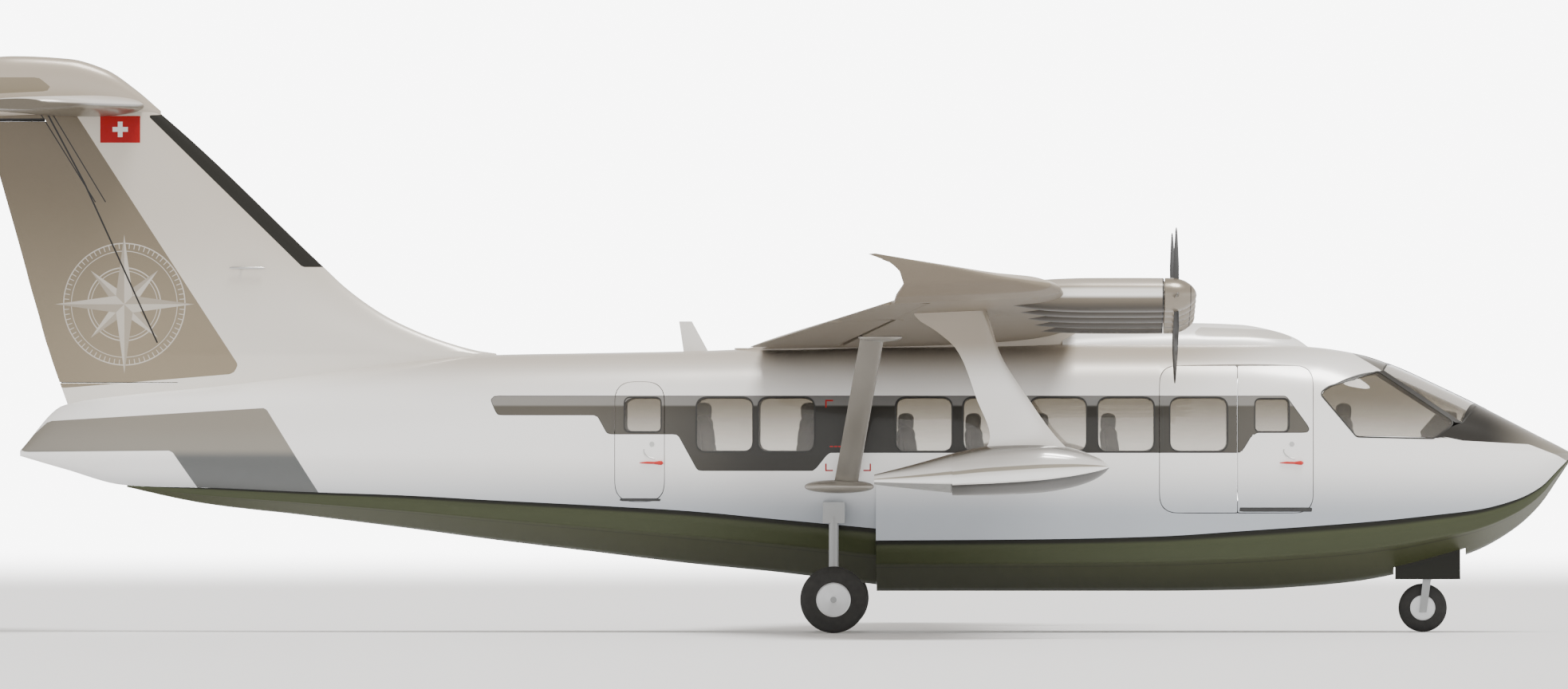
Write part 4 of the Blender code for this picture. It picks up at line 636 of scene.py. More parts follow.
def plate(name, outer, inner, finish):
    """A thin plate between two grids of points of the same size, closed round its rim."""
    rows, columns = outer.shape[:2]
    count, quads = rows * columns, grid_faces(rows, columns)
    rim = np.concatenate([np.arange(columns), np.arange(2 * columns - 1, count, columns),
                          np.arange(count - 2, count - columns - 1, -1),
                          np.arange(count - 2 * columns, 0, -columns)])
    sides = np.stack([rim, np.roll(rim, -1), np.roll(rim, -1) + count, rim + count], -1)
    faces = np.concatenate([quads, quads[:, ::-1] + count, sides])
    return weld(mesh_piece(name, np.stack([outer, inner]), faces.tolist(), finish))


def join(name, *pieces):
    """Makes one piece of several that share their finishes in order."""
    points, faces, slots, finishes = [], [], [], []
    for piece in pieces:
        mesh = piece.data
        finishes += [finish for finish in mesh.materials if finish not in finishes]
        corners, sizes, places = (np.empty(len(a), np.int32)
                                  for a in (mesh.loops, mesh.polygons, mesh.polygons))
        mesh.loops.foreach_get("vertex_index", corners)
        mesh.polygons.foreach_get("loop_total", sizes)
        mesh.polygons.foreach_get("material_index", places)
        corners += sum(len(a) for a in points)
        faces += [run.tolist() for run in np.split(corners, np.cumsum(sizes)[:-1])]
        slots.append(np.array([finishes.index(finish) for finish in mesh.materials])[places])
        points.append(points_of(mesh))
        bpy.data.objects.remove(piece)
    made = mesh_piece(name, np.concatenate(points), faces, *finishes)
    made.data.polygons.foreach_set("material_index", np.concatenate(slots))
    made.data.set_sharp_from_angle(angle=math.radians(32))
    return made


# The planing bottom is a dark olive V with a spray rail under the chine and a flat keel strip. It is
# bonded to the upper shell along the chine, and breaks at the step under the wing.
SIDES = (("left", 1), ("right", -1))
KEEL_STRIP = 0.20
WELL = (6.93, 7.72, 1.16)
BOTTOM_SHARES = ((1.0, 0.0), (0.985, 0.20), (0.90, 0.46), (0.10, 0.94), (0.0, 1.0))
OLIVE, OLIVE_LIT_STRIP, OLIVE_DARK = (0.042, 0.046, 0.020), (0.048, 0.056, 0.026), (0.016, 0.018, 0.007)
CHINE_SHADOW_BLACK, KEEL_GREY = (0.004, 0.004, 0.002), (0.115, 0.125, 0.105)


def bottom_section(table, x, girth):
    """Half a section from chine (girth 0) to keel (1), its corners eased by a narrow running mean."""
    shares = np.array(BOTTOM_SHARES)
    knots = np.concatenate([[0], np.cumsum(np.hypot(*np.diff(shares * (1.0, 0.45), axis=0).T))])
    knots /= knots[-1]
    y_share, z_share = (np.mean([np.interp(np.clip(girth + shift, 0, 1), knots, shares[:, k])
                                 for shift in (-0.012, 0, 0.012)], 0) for k in (0, 1))
    chine, beam, keel = (curve_through(table, c, x) for c in (1, 2, 3))
    return np.stack([x + 0 * girth, beam * y_share, chine - 0.0003 - (chine - keel) * z_share], -1)


olive = Finish("hull_bottom_paint")
girth = olive.attribute("girth")
# Painted light: a black painted shadow just under the chine's overhang, and a lighter painted strip on the
# steeper faces below it
coat = olive.mix(olive.fade(girth, 0.16, 0.30), OLIVE_LIT_STRIP, OLIVE)
coat = olive.coats(olive.mix(olive.fade(girth, 0.02, 0.05), CHINE_SHADOW_BLACK, coat),
                   (olive.fade(girth, 0.88, 0.97), KEEL_GREY),
                   (olive.math("MULTIPLY", olive.noise(3.0, 4.0, (0.2, 1, 2)), 0.22), OLIVE_DARK),
                   (olive.fade(olive.off(girth, 0.30), 0.02, 0.0), OLIVE_DARK))
olive.bump(olive.noise(1.6, 2.0), 0.004, 0.25)
olive.set(Base_Color=coat, Roughness=0.42, Specular_IOR_Level=0.25)
for name, table, node, span in (
        ("bottom_forward_skin", FOREBODY, "planing_bottom_forward", (STEP_X + STEP_GAP, NOSE_X)),
        ("bottom_aft_skin", AFTERBODY, "planing_bottom_aft", (CHINE_END_X, STEP_X - STEP_GAP))):
    x_lines = grid_lines(*span, WELL[:2], 0.06, 0.001)
    girths = np.concatenate([np.linspace(0, 0.3, 22), np.linspace(0.3, 1, 24)[1:]])
    x, girth = np.meshgrid(x_lines, girths, indexing="ij")
    half = bottom_section(table, x, girth)
    if table is FOREBODY:
        inside = (x_lines >= WELL[0] - 1e-6) & (x_lines <= WELL[1] + 1e-6)
        for k in np.flatnonzero(inside):
            edge = np.interp(-KEEL_STRIP, -half[k, :, 1], np.arange(len(girths)))
            spread = np.concatenate([np.linspace(0, edge, len(girths) - 8),
                                     np.linspace(edge, len(girths) - 1, 9)[1:]])
            half[k] = np.stack([np.interp(spread, np.arange(len(girths)), half[k, :, c]) for c in range(3)],
                               -1)
    full = np.concatenate([half, half[:, -2::-1] * (1, -1, 1)], 1)
    rows, columns = full.shape[:2]
    keep = np.ones((rows - 1, columns - 1), bool)
    extra_points, extra_faces = np.zeros((0, 3)), []
    if table is FOREBODY:
        i0, i1 = np.flatnonzero(inside)[[0, -1]]
        j0, j1 = len(girths) - 9, columns - len(girths) + 8
        keep[i0:i1, j0:j1] = False
        loop = block_loop(i0, i1, j0, j1, columns)
        extra_points = full.reshape(-1, 3)[loop] * (1, 1, 0) + (0, 0, WELL[2])
        top = np.arange(len(loop)) + rows * columns
        extra_faces = [*np.stack([loop, np.roll(loop, -1), np.roll(top, -1), top], -1).tolist(), top.tolist()]
    ends = [list(range(columns)), list(range((rows - 1) * columns, rows * columns))[::-1]]
    lid = np.arange(rows) * columns
    lids = np.stack([lid[:-1], lid[1:], lid[1:] + columns - 1, lid[:-1] + columns - 1], -1).tolist()
    bottom = mesh_piece(name, np.concatenate([full.reshape(-1, 3), extra_points]),
                        [*grid_faces(rows, columns)[keep.ravel()].tolist(), *extra_faces, *ends, *lids],
                        olive.material)
    across = np.concatenate([girths, girths[-2::-1]])
    store(bottom, "girth", np.concatenate([np.tile(across, rows), np.full(len(extra_points), 0.5)]))
    weld(bottom, 24)
    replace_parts(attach(bottom, "airframe"), node)
for side, sign in SIDES:
    length, height = np.meshgrid(np.linspace(6.95, 7.66, 9), np.linspace(0.58, 1.0, 7), indexing="ij")
    bow = 0.004 * np.sin(math.pi * (height - 0.58) / 0.42)
    outer, inner = (np.stack([length, sign * (KEEL_STRIP + t + bow), height], -1) for t in (0.001, 0.017))
    flap = plate(f"nose_well_door_{side}", outer, inner, olive.material)
    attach(flap, "airframe")

# Panes are clear acrylic, bonded from inside into black rubber frames that stand a little proud of
# the paint, so the seats show through them.
GLASS_TINT, GLASS_SHADE = (0.76, 0.735, 0.695), (0.36, 0.33, 0.28)
glass = Finish("acrylic_pane")
# The panes are painted darker towards the top, as the wing's painted shadow on the glass
pane_shade = glass.mix(glass.fade(glass.axis("Z"), 1.9, 2.65), GLASS_TINT, GLASS_SHADE)
glass.set(Base_Color=pane_shade, Roughness=0.04, Transmission_Weight=0.92, IOR=1.12, Coat_Weight=0.5,
          Coat_Roughness=0.02)
rubber = grained("frame_rubber", (40.0,), (0.010, 0.010, 0.009), (0.022, 0.021, 0.019), (160.0,), 0.0006, 0.3,
                 Roughness=0.45)


def spread_out(outline, by):
    """An outline moved outwards along the mean of its neighbours' normals."""
    ahead = np.roll(outline, -1, 0) - np.roll(outline, 1, 0)
    normal = np.stack([ahead[:, 1], -ahead[:, 0]], -1)
    normal /= np.maximum(np.linalg.norm(normal, axis=1, keepdims=True), 1e-9)
    area = (outline[:, 0] * np.roll(outline[:, 1], -1) - outline[:, 1] * np.roll(outline[:, 0], -1)).sum()
    return outline + by * normal * np.sign(area)


def thin_out(outline, spacing=0.03):
    """An outline in x and z with its points set evenly round it."""
    closed, length = lengths_round(outline)
    count = max(24, int(length[-1] / spacing))
    even = np.unique(np.concatenate([np.linspace(0, length[-1], count, endpoint=False),
                                     length[:-1]]).round(4))
    even = even[np.concatenate([[True], np.diff(even) > 0.004])]
    return read_round(closed, length, even)


def resample(outline, count, start):
    """An outline with the given number of even points, from the one nearest a direction."""
    first = int(((outline - outline.mean(0)) @ np.array(start)).argmax())
    closed, length = lengths_round(np.roll(outline, -first, 0))
    return read_round(closed, length, np.linspace(0, length[-1], count, endpoint=False))


def hull_layer(outlines, depths, sign):
    """Points of outlines in x and z, each laid on the hull at its own depth below the surface."""
    rings = []
    for outline, depth in zip(outlines, depths):
        x, share = on_hull(outline).T
        rings.append((hull_place(x, share) - depth * hull_normal(x, share)) * (1, sign, 1))
    return np.array(rings)


def disc(name, outline, depths, sign, finish, rings=6):
    """A closed plate that follows the hull between two depths, inside one outline."""
    middle = outline.mean(0)
    scales = np.linspace(0.03, 1, rings)
    shrunk = [middle + (outline - middle) * s for s in scales]
    layers = hull_layer(shrunk + shrunk[::-1], [depths[0]] * rings + [depths[1]] * rings, sign)
    return skin(name, layers, finish)


def collar(name, inner, outer, depths, sign, finish, steps=1):
    """A closed band that follows the hull between two outlines and two depths."""
    shares = np.linspace(0, 1, steps + 1)
    across = [inner + (outer - inner) * s for s in shares]
    layers = hull_layer(across + across[::-1], [depths[0]] * len(across) + [depths[1]] * len(across), sign)
    return loop_skin(name, layers, finish)


DOOR_WINDOWS = {"crew_door": (5.408, 5.775, 2.200, 2.560, 0.05),
                "cargo_door": (4.480, 5.101, 1.985, 2.572, 0.09),
                "rear_door": (-1.488, -1.094, 2.200, 2.572, 0.05)}
window_outlines = [thin_out(box_outline(*w)) for w in CABIN_WINDOWS]
cockpit_outlines = [thin_out(rounded_outline(SIDE_WINDOW, 0.06, 7)),
                    thin_out(rounded_outline(WINDSHIELD, 0.012, 3))]
for side, sign in SIDES:
    outlines = window_outlines + ([thin_out(box_outline(*CARGO_WINDOW))] if sign > 0 else [])
    panes = [disc("pane", spread_out(o, -0.002), (0.004, 0.012), sign, glass.material) for o in outlines]
    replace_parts(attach(join(f"cabin_panes_{side}", *panes), "airframe"),
                f"cabin_windows_{side}")
    frames = [collar("frame", spread_out(o, -0.002), spread_out(o, 0.013), (-0.0025, 0.012), sign, rubber)
              for o in outlines + cockpit_outlines]
    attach(join(f"window_frames_{side}", *frames), "airframe")
for side, sign in SIDES:
    pillar = disc(f"windshield_pillar_{side}", resample(np.array(PILLAR), 64, (-1, 1)), (-0.002, WALL), sign,
                  rubber, 4)
    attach(pillar, "airframe")
cockpit_panes = [disc("pane", spread_out(o, -0.002), (0.003, 0.013), sign, glass.material, 9)
                 for o in cockpit_outlines for sign in (1, -1)]
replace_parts(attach(join("cockpit_panes", *cockpit_panes), "airframe"), "cockpit_glazing")

# Each door is a moulded shell with its own inner face and a rubber-framed pane, hung on knuckles along
# its aft edge. Crew and rear doors have a red lever in front of a key lock and a dark scuff bar.
DOOR_GAP = 0.007
HANDLE_Z = 1.859
red = grained("handle_red", (30.0,), (0.42, 0.010, 0.008), (0.56, 0.020, 0.014), (90.0,), 0.0004, 0.3,
              Roughness=0.35)
steel = grained("brushed_steel", (25.0,), (0.42, 0.42, 0.41), (0.58, 0.58, 0.57), (220.0, 2.0, (0.05, 1, 1)),
                0.0004, 0.4, Metallic=1.0, Roughness=0.32)
scuff = grained("scuff_bar_black", (18.0,), (0.012, 0.013, 0.014), (0.035, 0.036, 0.036), (120.0,), 0.0005,
                0.5, Roughness=0.5)
door_paint = pearl_paint("door_paint", ("band", BAND_SHADOW_GREY))
# Columns: handle's knob x, lock x, scuff bar's first x, last x, bottom z, top z
DOOR_FITTINGS = {"crew_door": (5.915, 5.809, 5.234, 6.030, 1.325, 1.372),
                 "rear_door": (-1.085, -1.190, -1.545, -1.095, 1.440, 1.470)}


def rod(name, path, radii, finish, sides=12):
    """A round bar along a path of points, its radius given at each, with both ends rounded by the path."""
    path, radii = np.array(path, float), np.array(radii, float)
    ahead = np.gradient(path, axis=0)
    ahead /= np.linalg.norm(ahead, axis=1, keepdims=True)
    side = np.cross(ahead, (0.13, 0.31, 0.94))
    side /= np.linalg.norm(side, axis=1, keepdims=True)
    up = np.cross(side, ahead)
    t = np.linspace(0, 2 * math.pi, sides, endpoint=False)[None, :, None]
    spread = np.cos(t) * side[:, None] + np.sin(t) * up[:, None]
    return skin(name, path[:, None] + radii[:, None, None] * spread, finish)


for door, (first, last, low, high, radius) in DOORS.items():
    for side, sign in SIDES:
        if door == "cargo_door" and sign > 0:
            continue
        body = f"{door}_{side}"
        aft, fore = (DOOR_GAP / 2 if body == pair else DOOR_GAP
                     for pair in ("crew_door_right", "cargo_door_right"))
        square = {"cargo_door_right": "fore", "crew_door_right": "aft"}.get(body)
        outline = box_outline(first + aft, last - fore, low + DOOR_GAP, high - DOOR_GAP, radius, square)
        outline = resample(outline, 144, (-1, -0.6))
        window = resample(box_outline(*DOOR_WINDOWS[door]), 144, (-1, -0.6))
        panel = collar(f"{body}_shell", window, outline, (0.0, WALL), sign, door_paint, 8)
        paint_areas(panel, band=BAND)
        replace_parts(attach(panel, body), body)
        even = thin_out(box_outline(*DOOR_WINDOWS[door]))
        pane = disc(f"{body}_pane", spread_out(even, -0.002), (0.004, 0.012), sign, glass.material)
        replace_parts(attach(pane, body), f"{door}_window_{side}")
        frame_ring = collar(f"{body}_window_frame", spread_out(even, -0.002), spread_out(even, 0.011),
                            (-0.0025, 0.012), sign, rubber)
        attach(frame_ring, body)
        if door in DOOR_FITTINGS:
            knob, lock, bar_first, bar_last, bar_low, bar_high = DOOR_FITTINGS[door]
            # Columns: x from the knob, z above the handle, radius
            grip = np.array(((-0.24, 0, 0.004), (-0.16, 0.003, 0.013), (-0.08, 0, 0.013), (-0.03, 0, 0.022),
                             (0, 0, 0.024), (0.02, 0, 0.008)))
            lever = hull_layer([grip[:, :2] + (knob, HANDLE_Z)], [-0.012], sign)[0]
            parts = [rod("lever", lever, grip[:, 2], red)]
            parts += [rod("stem", np.linspace(place, place - (0, sign * 0.012, 0), 4), (0.006,) * 4, red, 8)
                      for place in (lever[1], lever[4])]
            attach(join(f"{body}_handle", *parts), body)
            t = np.linspace(0, 2 * math.pi, 20, endpoint=False)
            ring = np.stack([lock + 0.028 * np.cos(t), HANDLE_Z + 0.205 + 0.028 * np.sin(t)], -1)
            parts = [disc("lock", ring, (-0.003, 0.004), sign, steel, 4)]
            t = np.linspace(0.15, 1.75, 12)
            arc = np.stack([knob - 0.05 - 0.145 * np.sin(t), HANDLE_Z + 0.045 + 0.09 * (1 - np.cos(t))], -1)
            bow = hull_layer([arc], [-0.001], sign)[0]
            parts.append(rod("arc", bow, (0.006,) * 12, steel, 6))
            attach(join(f"{body}_lock", *parts), body)
            foot = thin_out(box_outline(bar_first, bar_last, bar_low, bar_high, 0.006), 0.05)
            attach(disc(f"{body}_scuff_bar", foot, (-0.003, 0.002), sign, scuff, 5), body)

# The wing is a bonded composite panel on each side with five slim nacelles let into its nose, an
# upswept and canted tip, and open coves at its trailing edge for the flap and the aileron.
WING_ROOT_Y = 0.95
# Columns: y, leading edge x and z, trailing edge x and z, thickness share, cant of the section in degrees
WING = np.array((
    (0.95, 3.456, 3.434, -0.175, 3.110, 0.150, 0), (10.30, 3.290, 3.749, 1.418, 3.591, 0.120, 0),
    (10.60, 3.180, 3.790, 1.450, 3.660, 0.115, 14), (10.80, 2.774, 3.862, 1.558, 3.790, 0.110, 36),
    (10.92, 2.144, 3.985, 1.540, 3.950, 0.100, 58), (10.97, 1.619, 4.072, 1.426, 4.055, 0.100, 68),
    (10.99, 1.330, 4.122, 1.243, 4.116, 0.100, 70),
))
CAMBER, TRAILING_THICK, SURFACE_HINGE = 0.03, 0.008, 0.74
FLAP_Y, AILERON_Y, RUNNING = (1.35, 6.60), (6.70, 10.05), 0.007
FLAP_RELIEF, END_GAP = 0.62, 0.006


def eased(count):
    """Places from 0 to 1 that lie close together at both ends: half of one minus a cosine."""
    return (1 - np.cos(np.linspace(0, math.pi, count))) / 2


def both_sides(half):
    """A ring from its port half: the half, and back along its mirror image."""
    return np.concatenate([half, half[::-1] * (1, -1, 1)])


def section_half(s):
    """The four-digit section's half thickness at a share of its chord, for a thickness share of 1."""
    return 5 * (0.2969 * np.sqrt(s) - 0.1260 * s - 0.3516 * s**2 + 0.2843 * s**3 - 0.1036 * s**4)


def section_bow(s):
    """Its camber line for a camber of 1: two parabolas that meet at 0.4 of the chord."""
    return np.where(s < 0.4, (0.8 * s - s**2) / 0.16, (0.2 + 0.8 * s - s**2) / 0.36)


def wing_point(y, s, sign):
    """Points of the wing's surface at span y and chord share s, on top (sign 1) or below (sign -1)."""
    lead_x, lead_z, trail_x, trail_z, share, cant = (np.interp(y, WING[:, 0], WING[:, c])
                                                     for c in range(1, 7))
    chord, lean = lead_x - trail_x, np.radians(cant)
    half = section_half(s) * share * chord + TRAILING_THICK / 2 * s
    rise = section_bow(s) * CAMBER * chord + sign * half
    return np.stack([lead_x - s * chord, y - rise * np.sin(lean),
                     lead_z + (trail_z - lead_z) * s + rise * np.cos(lean)], -1)


def hinge_on_wing(y):
    """The hinge line's point and the section's half thickness there."""
    top, below = (wing_point(np.float64(y), SURFACE_HINGE, sign) for sign in (1, -1))
    return (top + below) / 2, float(np.linalg.norm(top - below)) / 2


FORWARD = eased(34)


def cove_section(y, relief):
    """One section of the wing ahead of a cove: over the top from the cove's lip, round the nose and back.

    The cove is an arc about the hinge, a running gap larger than the surface's round nose.
    """
    hinge, half = hinge_on_wing(y)
    lead, trail = (float(np.interp(y, WING[:, 0], WING[:, c])) for c in (1, 3))
    lower_end = SURFACE_HINGE - (half + RUNNING) * math.sin(relief) / (lead - trail) - 0.002
    upper = wing_point(y, FORWARD[::-1] * SURFACE_HINGE, 1)
    lower = wing_point(y, FORWARD[1:] * lower_end, -1)
    start, end = lower[-1] - hinge, upper[0] - hinge
    turn_start, turn_end = (math.atan2(v[2], v[0]) for v in (start, end))
    full = 2 * math.pi
    turn_start += full * (turn_start > turn_end + math.pi) - full * (turn_start < turn_end - math.pi)
    radius = half + RUNNING
    turn = turn_start + (turn_end - turn_start) * np.linspace(0.06, 1, 9)[:-1]
    arc = hinge + np.stack([radius * np.cos(turn), 0 * turn, radius * np.sin(turn)], -1)
    arc[:, 0] = np.maximum(arc[:, 0], hinge[0] - 0.001)
    return np.concatenate([upper, lower, arc])


def whole_section(y):
    """One full section with the same number of points, those of the arc spent on its trailing edge."""
    upper, lower = (wing_point(y, s * SURFACE_HINGE, sign)
                    for s, sign in ((FORWARD[::-1], 1), (FORWARD[1:], -1)))
    aft = np.linspace(SURFACE_HINGE, 1, 6)[1:]
    return np.concatenate([upper, lower, wing_point(y, aft[:4], -1), wing_point(y, aft[::-1][1:], 1)])


TIP_BEND_Y, TIP_Y, JOINT_GAP = WING[1, 0], WING[-1, 0], 0.0003
ends = [WING_ROOT_Y + JOINT_GAP, FLAP_Y[0] - END_GAP, FLAP_Y[1] + END_GAP, AILERON_Y[0] - END_GAP,
        AILERON_Y[1] + END_GAP, TIP_Y]
rings = []
for first, last, relief in zip(ends, ends[1:], (None, FLAP_RELIEF, None, 0.0, None)):
    places = np.linspace(first, last, max(2, int((last - first) / 0.3)))
    if last == TIP_Y:
        places = np.unique(np.concatenate([places, np.linspace(TIP_BEND_Y, TIP_Y, 26)]))
    rings += [whole_section(y) if relief is None else cove_section(y, relief) for y in places]
rings = np.array(rings)
wing_paint = Finish("wing_paint")
# Over a cloudy ground, the paint darkens on faces that look down and lightens on faces that look up: painted
# shade below, painted light above
up, cloud = wing_paint.facing("Z"), wing_paint.fade(wing_paint.noise(0.5, 2.0), 0.35, 0.65)
ground = wing_paint.coats(wing_paint.mix(cloud, (0.150, 0.120, 0.083), (0.188, 0.156, 0.112)),
                          (wing_paint.fade(up, 0.0, -0.9), (0.125, 0.098, 0.066)),
                          (wing_paint.fade(up, 0.35, 0.95), (0.46, 0.42, 0.36)),
                          (wing_paint.math("MULTIPLY", wing_paint.noise(900.0, 1.0), 0.06), (0.9, 0.9, 0.9)))
wing_paint.bump(wing_paint.noise(2.0, 2.0), 0.004, 0.2)
wing_paint.set(Base_Color=ground, Roughness=0.45, Specular_IOR_Level=0.2, Coat_Weight=0.08,
               Coat_Roughness=0.12)
NACELLE_Y, NACELLE_Z, NACELLE_RISE = (2.3, 3.9, 5.5, 7.1, 8.7), 3.456, 0.0355
# Columns: x, radius
NACELLE = np.array(((2.45, 0.02), (2.62, 0.075), (2.80, 0.12), (3.20, 0.172), (3.60, 0.184), (4.05, 0.185),
                    (4.392, 0.183)))
NACELLE_SEAM = 4.384
nacelle_paint = Finish("nacelle_paint")
# The nacelles are painted darker below and lighter on top as painted shade and painted light, with a pale
# painted highlight band along each side; the dark ring at the seam is a joint
seam_off, up = nacelle_paint.off(nacelle_paint.axis("X"), NACELLE_SEAM), nacelle_paint.facing("Z")
highlight_band_off = nacelle_paint.off(up, 0.16)
ground = nacelle_paint.mix(nacelle_paint.noise(1.2, 2.0), (0.15, 0.125, 0.09), (0.19, 0.16, 0.12))
ground = nacelle_paint.coats(ground, (nacelle_paint.fade(up, -0.1, -0.8), (0.035, 0.028, 0.020)),
                             (nacelle_paint.fade(up, 0.45, 0.8), (0.42, 0.385, 0.335)),
                             (nacelle_paint.fade(highlight_band_off, 0.38, 0.12), (0.93, 0.91, 0.87)),
                             (nacelle_paint.fade(seam_off, 0.0075, 0.0055), (0.01, 0.01, 0.01)))
nacelle_paint.bump(nacelle_paint.noise(3.0), 0.002, 0.2)
nacelle_paint.set(Base_Color=ground, Roughness=0.3, Metallic=0.3, Coat_Weight=0.3, Coat_Roughness=0.06)


def turned(name, profile, centre, axis, finish, sides=40):
    """A profile of places along an axis and radii, turned about it, with both ends closed."""
    profile = np.asarray(profile, float)
    t = np.linspace(0, 2 * math.pi, sides, endpoint=False)
    along, cosine, sine = (np.broadcast_to(a, (len(profile), sides)) for a in
                           (profile[:, :1], np.cos(t)[None], np.sin(t)[None]))
    a, b, c = along, profile[:, 1:] * cosine, profile[:, 1:] * sine
    order = {"X": (a, b, c), "Y": (c, a, b), "Z": (b, c, a)}[axis]
    return skin(name, np.stack(order, -1) + np.array(centre), finish)


# Each nacelle's profile turns in at its front, behind the spinner
NACELLE_LIP = NACELLE[-1, 0]
x = np.concatenate([np.linspace(NACELLE[0, 0], 4.385, 30), [NACELLE_LIP]])
radius = curve_through(NACELLE, 1, x)
radius[-1] -= 0.006
inner = [(NACELLE_LIP, radius[-1] - 0.012), (4.36, radius[-1] - 0.018), (4.36, 0.06), (4.3990, 0.05)]
nacelle_profile = np.concatenate([np.stack([x, radius], -1), inner])
for side, sign in SIDES:
    mirror = (1, sign, 1)
    wing = skin(f"wing_skin_{side}", rings * mirror, wing_paint.material)
    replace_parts(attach(wing, "airframe"), f"wing_{side}")
    cowls = []
    for y in NACELLE_Y:
        middle = (0, sign * y, NACELLE_Z + (y - NACELLE_Y[0]) * NACELLE_RISE)
        cowls.append(turned("cowl", nacelle_profile, middle, "X", nacelle_paint.material))
    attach(join(f"nacelles_{side}", *cowls), "airframe")
    for kind, (first, last) in (("flap", FLAP_Y), ("aileron", AILERON_Y)):
        sections = []
        for y in np.linspace(first, last, int((last - first) / 0.35)):
            hinge, half = hinge_on_wing(y)
            aft = SURFACE_HINGE + (1 - SURFACE_HINGE) * np.linspace(0.02, 1, 9)
            top, below = wing_point(y, aft[::-1], 1), wing_point(y, aft, -1)
            t = np.linspace(math.pi / 2, -math.pi / 2, 11)
            nose = hinge + half * np.stack([np.cos(t), 0 * t, np.sin(t)], -1)
            sections.append(np.concatenate([top, nose, below]))
        surface = skin(f"{kind}_skin_{side}", np.array(sections) * mirror, wing_paint.material)
        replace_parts(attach(surface, f"{kind}_{side}"), f"{kind}_{side}")

# The middle of the wing lies across the cabin roof on a long faired plinth. Both are one moulding
# with the wing's main spar inside, bolted down to the cabin's frames.
PLINTH_SPAN, PLINTH_HALF, PLINTH_POWER = (-0.30, 3.52), 0.55, 3.4
plinth_paint = pearl_paint("plinth_paint")
rings = []
for share in (1 - np.cos(np.linspace(0.06, math.pi - 0.06, 44))) / 2:
    x = PLINTH_SPAN[0] + share * (PLINTH_SPAN[1] - PLINTH_SPAN[0])
    half = PLINTH_HALF * (1 - abs(2 * share - 1) ** PLINTH_POWER) ** (1 / PLINTH_POWER)
    s = np.clip((WING[0, 1] - x) / (WING[0, 1] - WING[0, 3]), 0.01, 0.99)
    top = np.mean([wing_point(np.float64(WING_ROOT_Y), s, sign)[2] for sign in (1, -1)])
    z = np.linspace(2.88, top, 12)
    rings.append(both_sides(np.stack([x + 0 * z, half + 0 * z, z], -1)))
plinth = skin("wing_plinth", rings, plinth_paint)
edge = WING_ROOT_Y - JOINT_GAP
across = [whole_section(WING_ROOT_Y) * (1, 0, 1) + (0, y, 0) for y in np.linspace(-edge, edge, 7)]
middle = join("wing_middle_skin", skin("middle", across, wing_paint.material), plinth)
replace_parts(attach(middle, "airframe"), "wing_centre_section")

# A long teardrop fairing on the roof ahead of the wing covers the wing's front fitting and cooling
# ducts; its side holds a shallow lighter scoop. A blade aerial stands behind the wing.
# Columns: x, top z, half width
ROOF_FAIRING = np.array(((3.30, 3.325, 0.46), (3.70, 3.352, 0.46), (4.00, 3.372, 0.46), (4.70, 3.390, 0.44),
                         (5.25, 3.372, 0.40), (5.60, 3.310, 0.33), (5.85, 3.225, 0.22), (6.02, 3.110, 0.06)))
FAIRING_BASE = 3.0
SCOOP = (((4.72, 3.255), (5.86, 3.205), (5.70, 3.31), (4.80, 3.345)), 0.05)
fairing_paint = pearl_paint("fairing_paint", ("scoop", (0.62, 0.60, 0.56)), warm_shade_from=3.5)
x, t = np.meshgrid(np.linspace(*ROOF_FAIRING[[0, -1], 0], 60), np.linspace(0, math.pi, 41), indexing="ij")
top, half = (curve_through(ROOF_FAIRING, c, x) for c in (1, 2))
recess = 0.014 * np.clip((x - 4.72) / 0.12, 0, 1) * np.clip((5.80 - x) / 0.18, 0, 1)
z = FAIRING_BASE + (top - FAIRING_BASE) * np.sin(t) ** 0.7
recess = recess * np.clip((z - 3.235) / 0.025, 0, 1) * np.clip((top - 0.03 - z) / 0.02, 0, 1)
fairing = skin("roof_fairing_skin", np.stack([x, (half - recess) * np.cos(t), z], -1), fairing_paint)
paint_areas(fairing, scoop=SCOOP)
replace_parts(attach(fairing, "airframe"), "roof_fairing")
rings, u = [], eased(14)
for s in np.linspace(0, 1, 9):
    lead, trail, z = -0.554 - 0.211 * s, -0.849 - 0.057 * s, 3.02 + 0.388 * s
    half = 0.10 * section_half(u) * (lead - trail) * (1 - 0.3 * s) + 0.001
    rings.append(both_sides(np.stack([lead - u * (lead - trail), half, z + 0 * u], -1)))
aerial = skin("blade_aerial_skin", rings, fairing_paint)
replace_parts(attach(aerial, "airframe"), "blade_aerial")

# Each propeller has four black carbon blades, twisted and tapered, and a smooth painted spinner. It
# spins on its own motor shaft just ahead of its nacelle.
PROPELLER_X, SPINNER_RING = 4.524, 4.68
# Columns: radius, chord, thickness, pitch angle in degrees
BLADE = np.array(((0.100, 0.060, 0.034, 58), (0.180, 0.066, 0.024, 50), (0.340, 0.085, 0.014, 40),
                  (0.480, 0.080, 0.011, 33), (0.600, 0.070, 0.008, 27), (0.680, 0.054, 0.006, 24),
                  (0.715, 0.036, 0.005, 22), (0.726, 0.014, 0.004, 22)))
carbon = grained("propeller_black", (8.0,), (0.006, 0.006, 0.006), (0.016, 0.015, 0.014), (60.0, 2.0), 0.0006,
                 0.4, Roughness=0.28, Coat_Weight=0.4, Coat_Roughness=0.1)
spinner_finish = Finish("spinner_paint")
spinner_finish.bump(spinner_finish.noise(3.0), 0.001, 0.2)
ring_off = spinner_finish.off(spinner_finish.axis("X"), SPINNER_RING)
ground = spinner_finish.mix(spinner_finish.noise(1.2, 2.0), (0.205, 0.175, 0.138), (0.255, 0.225, 0.18))
